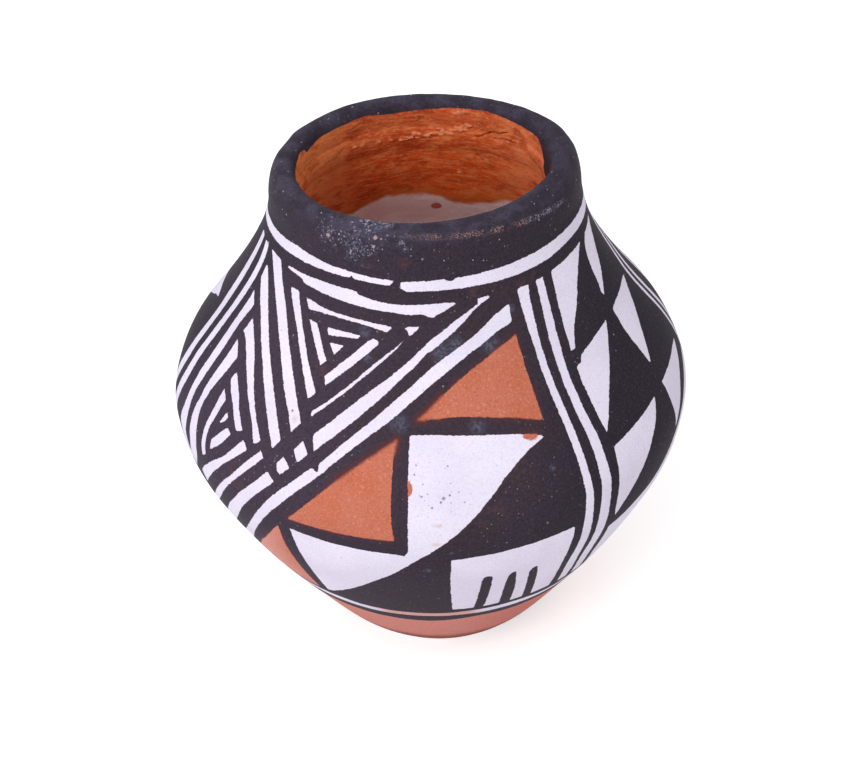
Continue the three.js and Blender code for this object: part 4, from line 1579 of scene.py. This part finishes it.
# Past the paint, the crumbs in the wash get a painted highlight on top, as in the neck.
lump = rim.mix(rim.ramp(raised, 0.02, 0.1, 0, 0.7), brown_wash(rim), colour(226, 138, 104))
black = rim.mix(beyond_paint(rim), black, lump)
rim.bump(rim.plus(rim.noise(0.3, 3), rim.noise(1, 4)), 0.5, 0.07)
rim.lay_on([rim_coat], black)

# %% [markdown]
# The bare clay is pale and pinkish, with a fine grain. It is seen inside, below the wash, and under
# the foot. The coats hide the rest of it.

# %% Finish of the bare clay
def bare_clay(f):
    """Pale and pinkish, a little blotched."""
    base = f.ramp(f.noise(6, 3, seed=30), 0.35, 0.65)
    base = f.mix(base, colour(255, 242, 244), colour(252, 228, 226))
    return f.tint(base, f.ramp(f.noise(0.5, 3, seed=31), 0.5, 0.8, 0, 0.4), (206, 170, 164))


clay_finish = Finish("bare_clay", 0.8, SPECULAR)
clay_finish.bump(clay_finish.noise(0.5, 4), 0.6, 0.12)
clay_finish.lay_on(clay, bare_clay(clay_finish))

# %% [markdown]
# The wash in the neck has a painted highlight on top of its crumbs and painted shade in its cracks,
# and thins to a yellowish edge over the bare clay. One drop of it ran down onto the clay. The wash
# carries the clay's colour past that edge, because the edge is drawn in the finish and not cut in the
# mesh.

# %% Finish of the neck
# Turn, length, reach and flatness of pale patches and scrapes.
PALE = ((155, 79.7, 3.5, 1.7), (150, 79.4, 2.5, 1.7), (-170, 77.5, 1.6, 4), (176.5, 77.3, 1.5, 4),
        (166.5, 78.4, 1.4, 4), (164, 76.5, 0.5), (-128, 82.6, 5, 3), (172, 82.4, 3, 3))
neck = Finish("brown_neck_wash", 0.66, SPECULAR)
marks = neck.attribute("marks")
wash = brown_wash(neck)
pale = neck.near_any(PALE, inside=True)
pale = neck.times(pale, neck.ramp(neck.noise(0.9, 4, (1, 1, 2.5), 33), 0.36, 0.6))
wash = neck.tint(wash, neck.times(pale, 0.75), (228, 140, 84))
# Painted highlight on top of the crumbs.
wash = neck.tint(wash, neck.ramp(marks, 0.03, 0.18, 0, 0.55), (232, 150, 112))
# Painted shade in the cracks.
wash = neck.tint(wash, neck.ramp(marks, -0.28, -0.05, 0.8, 0), (106, 40, 22))
edge = neck.times(neck.noise(1.5, 4, seed=35), 1.2)
edge = neck.plus(neck.attribute("over_edge"), edge)
wash = neck.tint(wash, neck.ramp(edge, 1, 4, 0.6, 0), (214, 118, 52))
drop = neck.ramp(neck.near(175.5, 67.2, 1.5, 0.5, inside=True), 0.25, 0.55, 0, 0.9)
drop_clay = neck.mix(drop, bare_clay(neck), colour(186, 76, 50))
wash = neck.mix(neck.ramp(edge, 0.1, 1.4), drop_clay, wash)
wash = neck.mix(beyond_paint(neck), black_paint(neck), wash)
neck.bump(neck.noise(0.4, 4, (1, 1, 2)), 0.6, 0.1)
neck.lay_on([wash_coat], wash)

# %% [markdown]
# The table is plain and pale. It is lit like the pot and keeps its soft shadow. To a camera ray it
# adds a little light of its own, so that it comes out white without any more light on the pot.

# %% Table
TABLE_RADIUS = 1.6
TABLE_GLOW = 0.5
to_object_mode()
bpy.ops.mesh.primitive_circle_add(vertices=96, radius=TABLE_RADIUS, fill_type="NGON")
table = bpy.context.object
table.name = "table"
bpy.ops.object.mode_set(mode="EDIT")
bpy.ops.mesh.select_all(action="SELECT")
bpy.ops.mesh.inset(thickness=0.6)
bpy.ops.object.mode_set(mode="OBJECT")
table_finish = bpy.data.materials.new("pale_table")
table_finish.use_nodes = True
tree = table_finish.node_tree
pale = tree.nodes["Principled BSDF"]
pale.inputs["Base Color"].default_value = (0.87, 0.87, 0.87, 1)
pale.inputs["Roughness"].default_value = 0.9
pale.inputs["Specular IOR Level"].default_value = 0.1


def seen_directly(nodes, links):
    """1 for camera, glossy and transmission rays, 0 for the light that falls on the pot."""
    rays = nodes.new("ShaderNodeLightPath").outputs
    seen = rays["Is Camera Ray"]
    for other in ("Is Glossy Ray", "Is Transmission Ray"):
        larger = nodes.new("ShaderNodeMath")
        larger.operation = "MAXIMUM"
        links.new(seen, larger.inputs[0])
        links.new(rays[other], larger.inputs[1])
        seen = larger.outputs[0]
    return seen


glow = tree.nodes.new("ShaderNodeMath")
glow.operation = "MULTIPLY"
glow.inputs[1].default_value = TABLE_GLOW
tree.links.new(seen_directly(tree.nodes, tree.links), glow.inputs[0])
pale.inputs["Emission Color"].default_value = (1, 1, 1, 1)
tree.links.new(glow.outputs[0], pale.inputs["Emission Strength"])
table.data.materials.append(table_finish)
print("table", 2 * TABLE_RADIUS, "m across")

# %% [markdown]
# Most of the light comes evenly from the room, as in a light tent, and one soft lamp from the left
# gives the pot its form. Seen directly, the room is white, while what it sheds on the pot is weaker.

# %% Room light and lamp
LAMP_AIM = Vector((0, 0, 40)) * MM
ROOM_LIGHT = 0.66
world = bpy.data.worlds.new("room")
bpy.context.scene.world = world
world.use_nodes = True
nodes, links = world.node_tree.nodes, world.node_tree.links
room = nodes["Background"]
room.inputs["Color"].default_value = (1, 1, 1, 1)
strength = nodes.new("ShaderNodeMapRange")
strength.inputs["To Min"].default_value = ROOM_LIGHT
links.new(seen_directly(nodes, links), strength.inputs["Value"])
links.new(strength.outputs[0], room.inputs["Strength"])


def softbox(name, place, size, power):
    """A square lamp that faces the pot. place is in mm, size in mm, power in watts."""
    lamp = bpy.data.objects.new(name, bpy.data.lights.new(name, "AREA"))
    lamp.data.size = size * MM
    lamp.data.energy = power
    lamp.location = Vector(place) * MM
    aim = LAMP_AIM - lamp.location
    lamp.rotation_euler = aim.to_track_quat("-Z", "Y").to_euler()
    bpy.context.scene.collection.objects.link(lamp)


softbox("key_softbox", (-295, -463, 500), 420, 2.5)
bpy.context.scene.view_settings.view_transform = "Standard"
print("room light", ROOM_LIGHT)

# %% [markdown]
# Last, every piece says which packed nodes it stands for, which finish it takes, and that it moves
# with the pot.

# %% Pieces and the end
STANDS_FOR = [
    (clay[0], "base_pat", "clay"),
    *[(clay[i], f"wall_coil_{i}", "clay") for i in range(1, JOINT_COUNT)],
    (clay[-1], "rim_coil", "clay"),
    (foot_coat, "foot_slip_orange", "orange_slip"),
    *[(coat, "body_slip_white", "white_slip") for coat, lengths in body_coats],
    (rim_coat, "rim_paint_black", "black_paint"),
    (wash_coat, "inner_wash_orange", "orange_wash"),
]
for piece, node, finish in STANDS_FOR:
    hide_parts(node)
    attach(piece, "root")
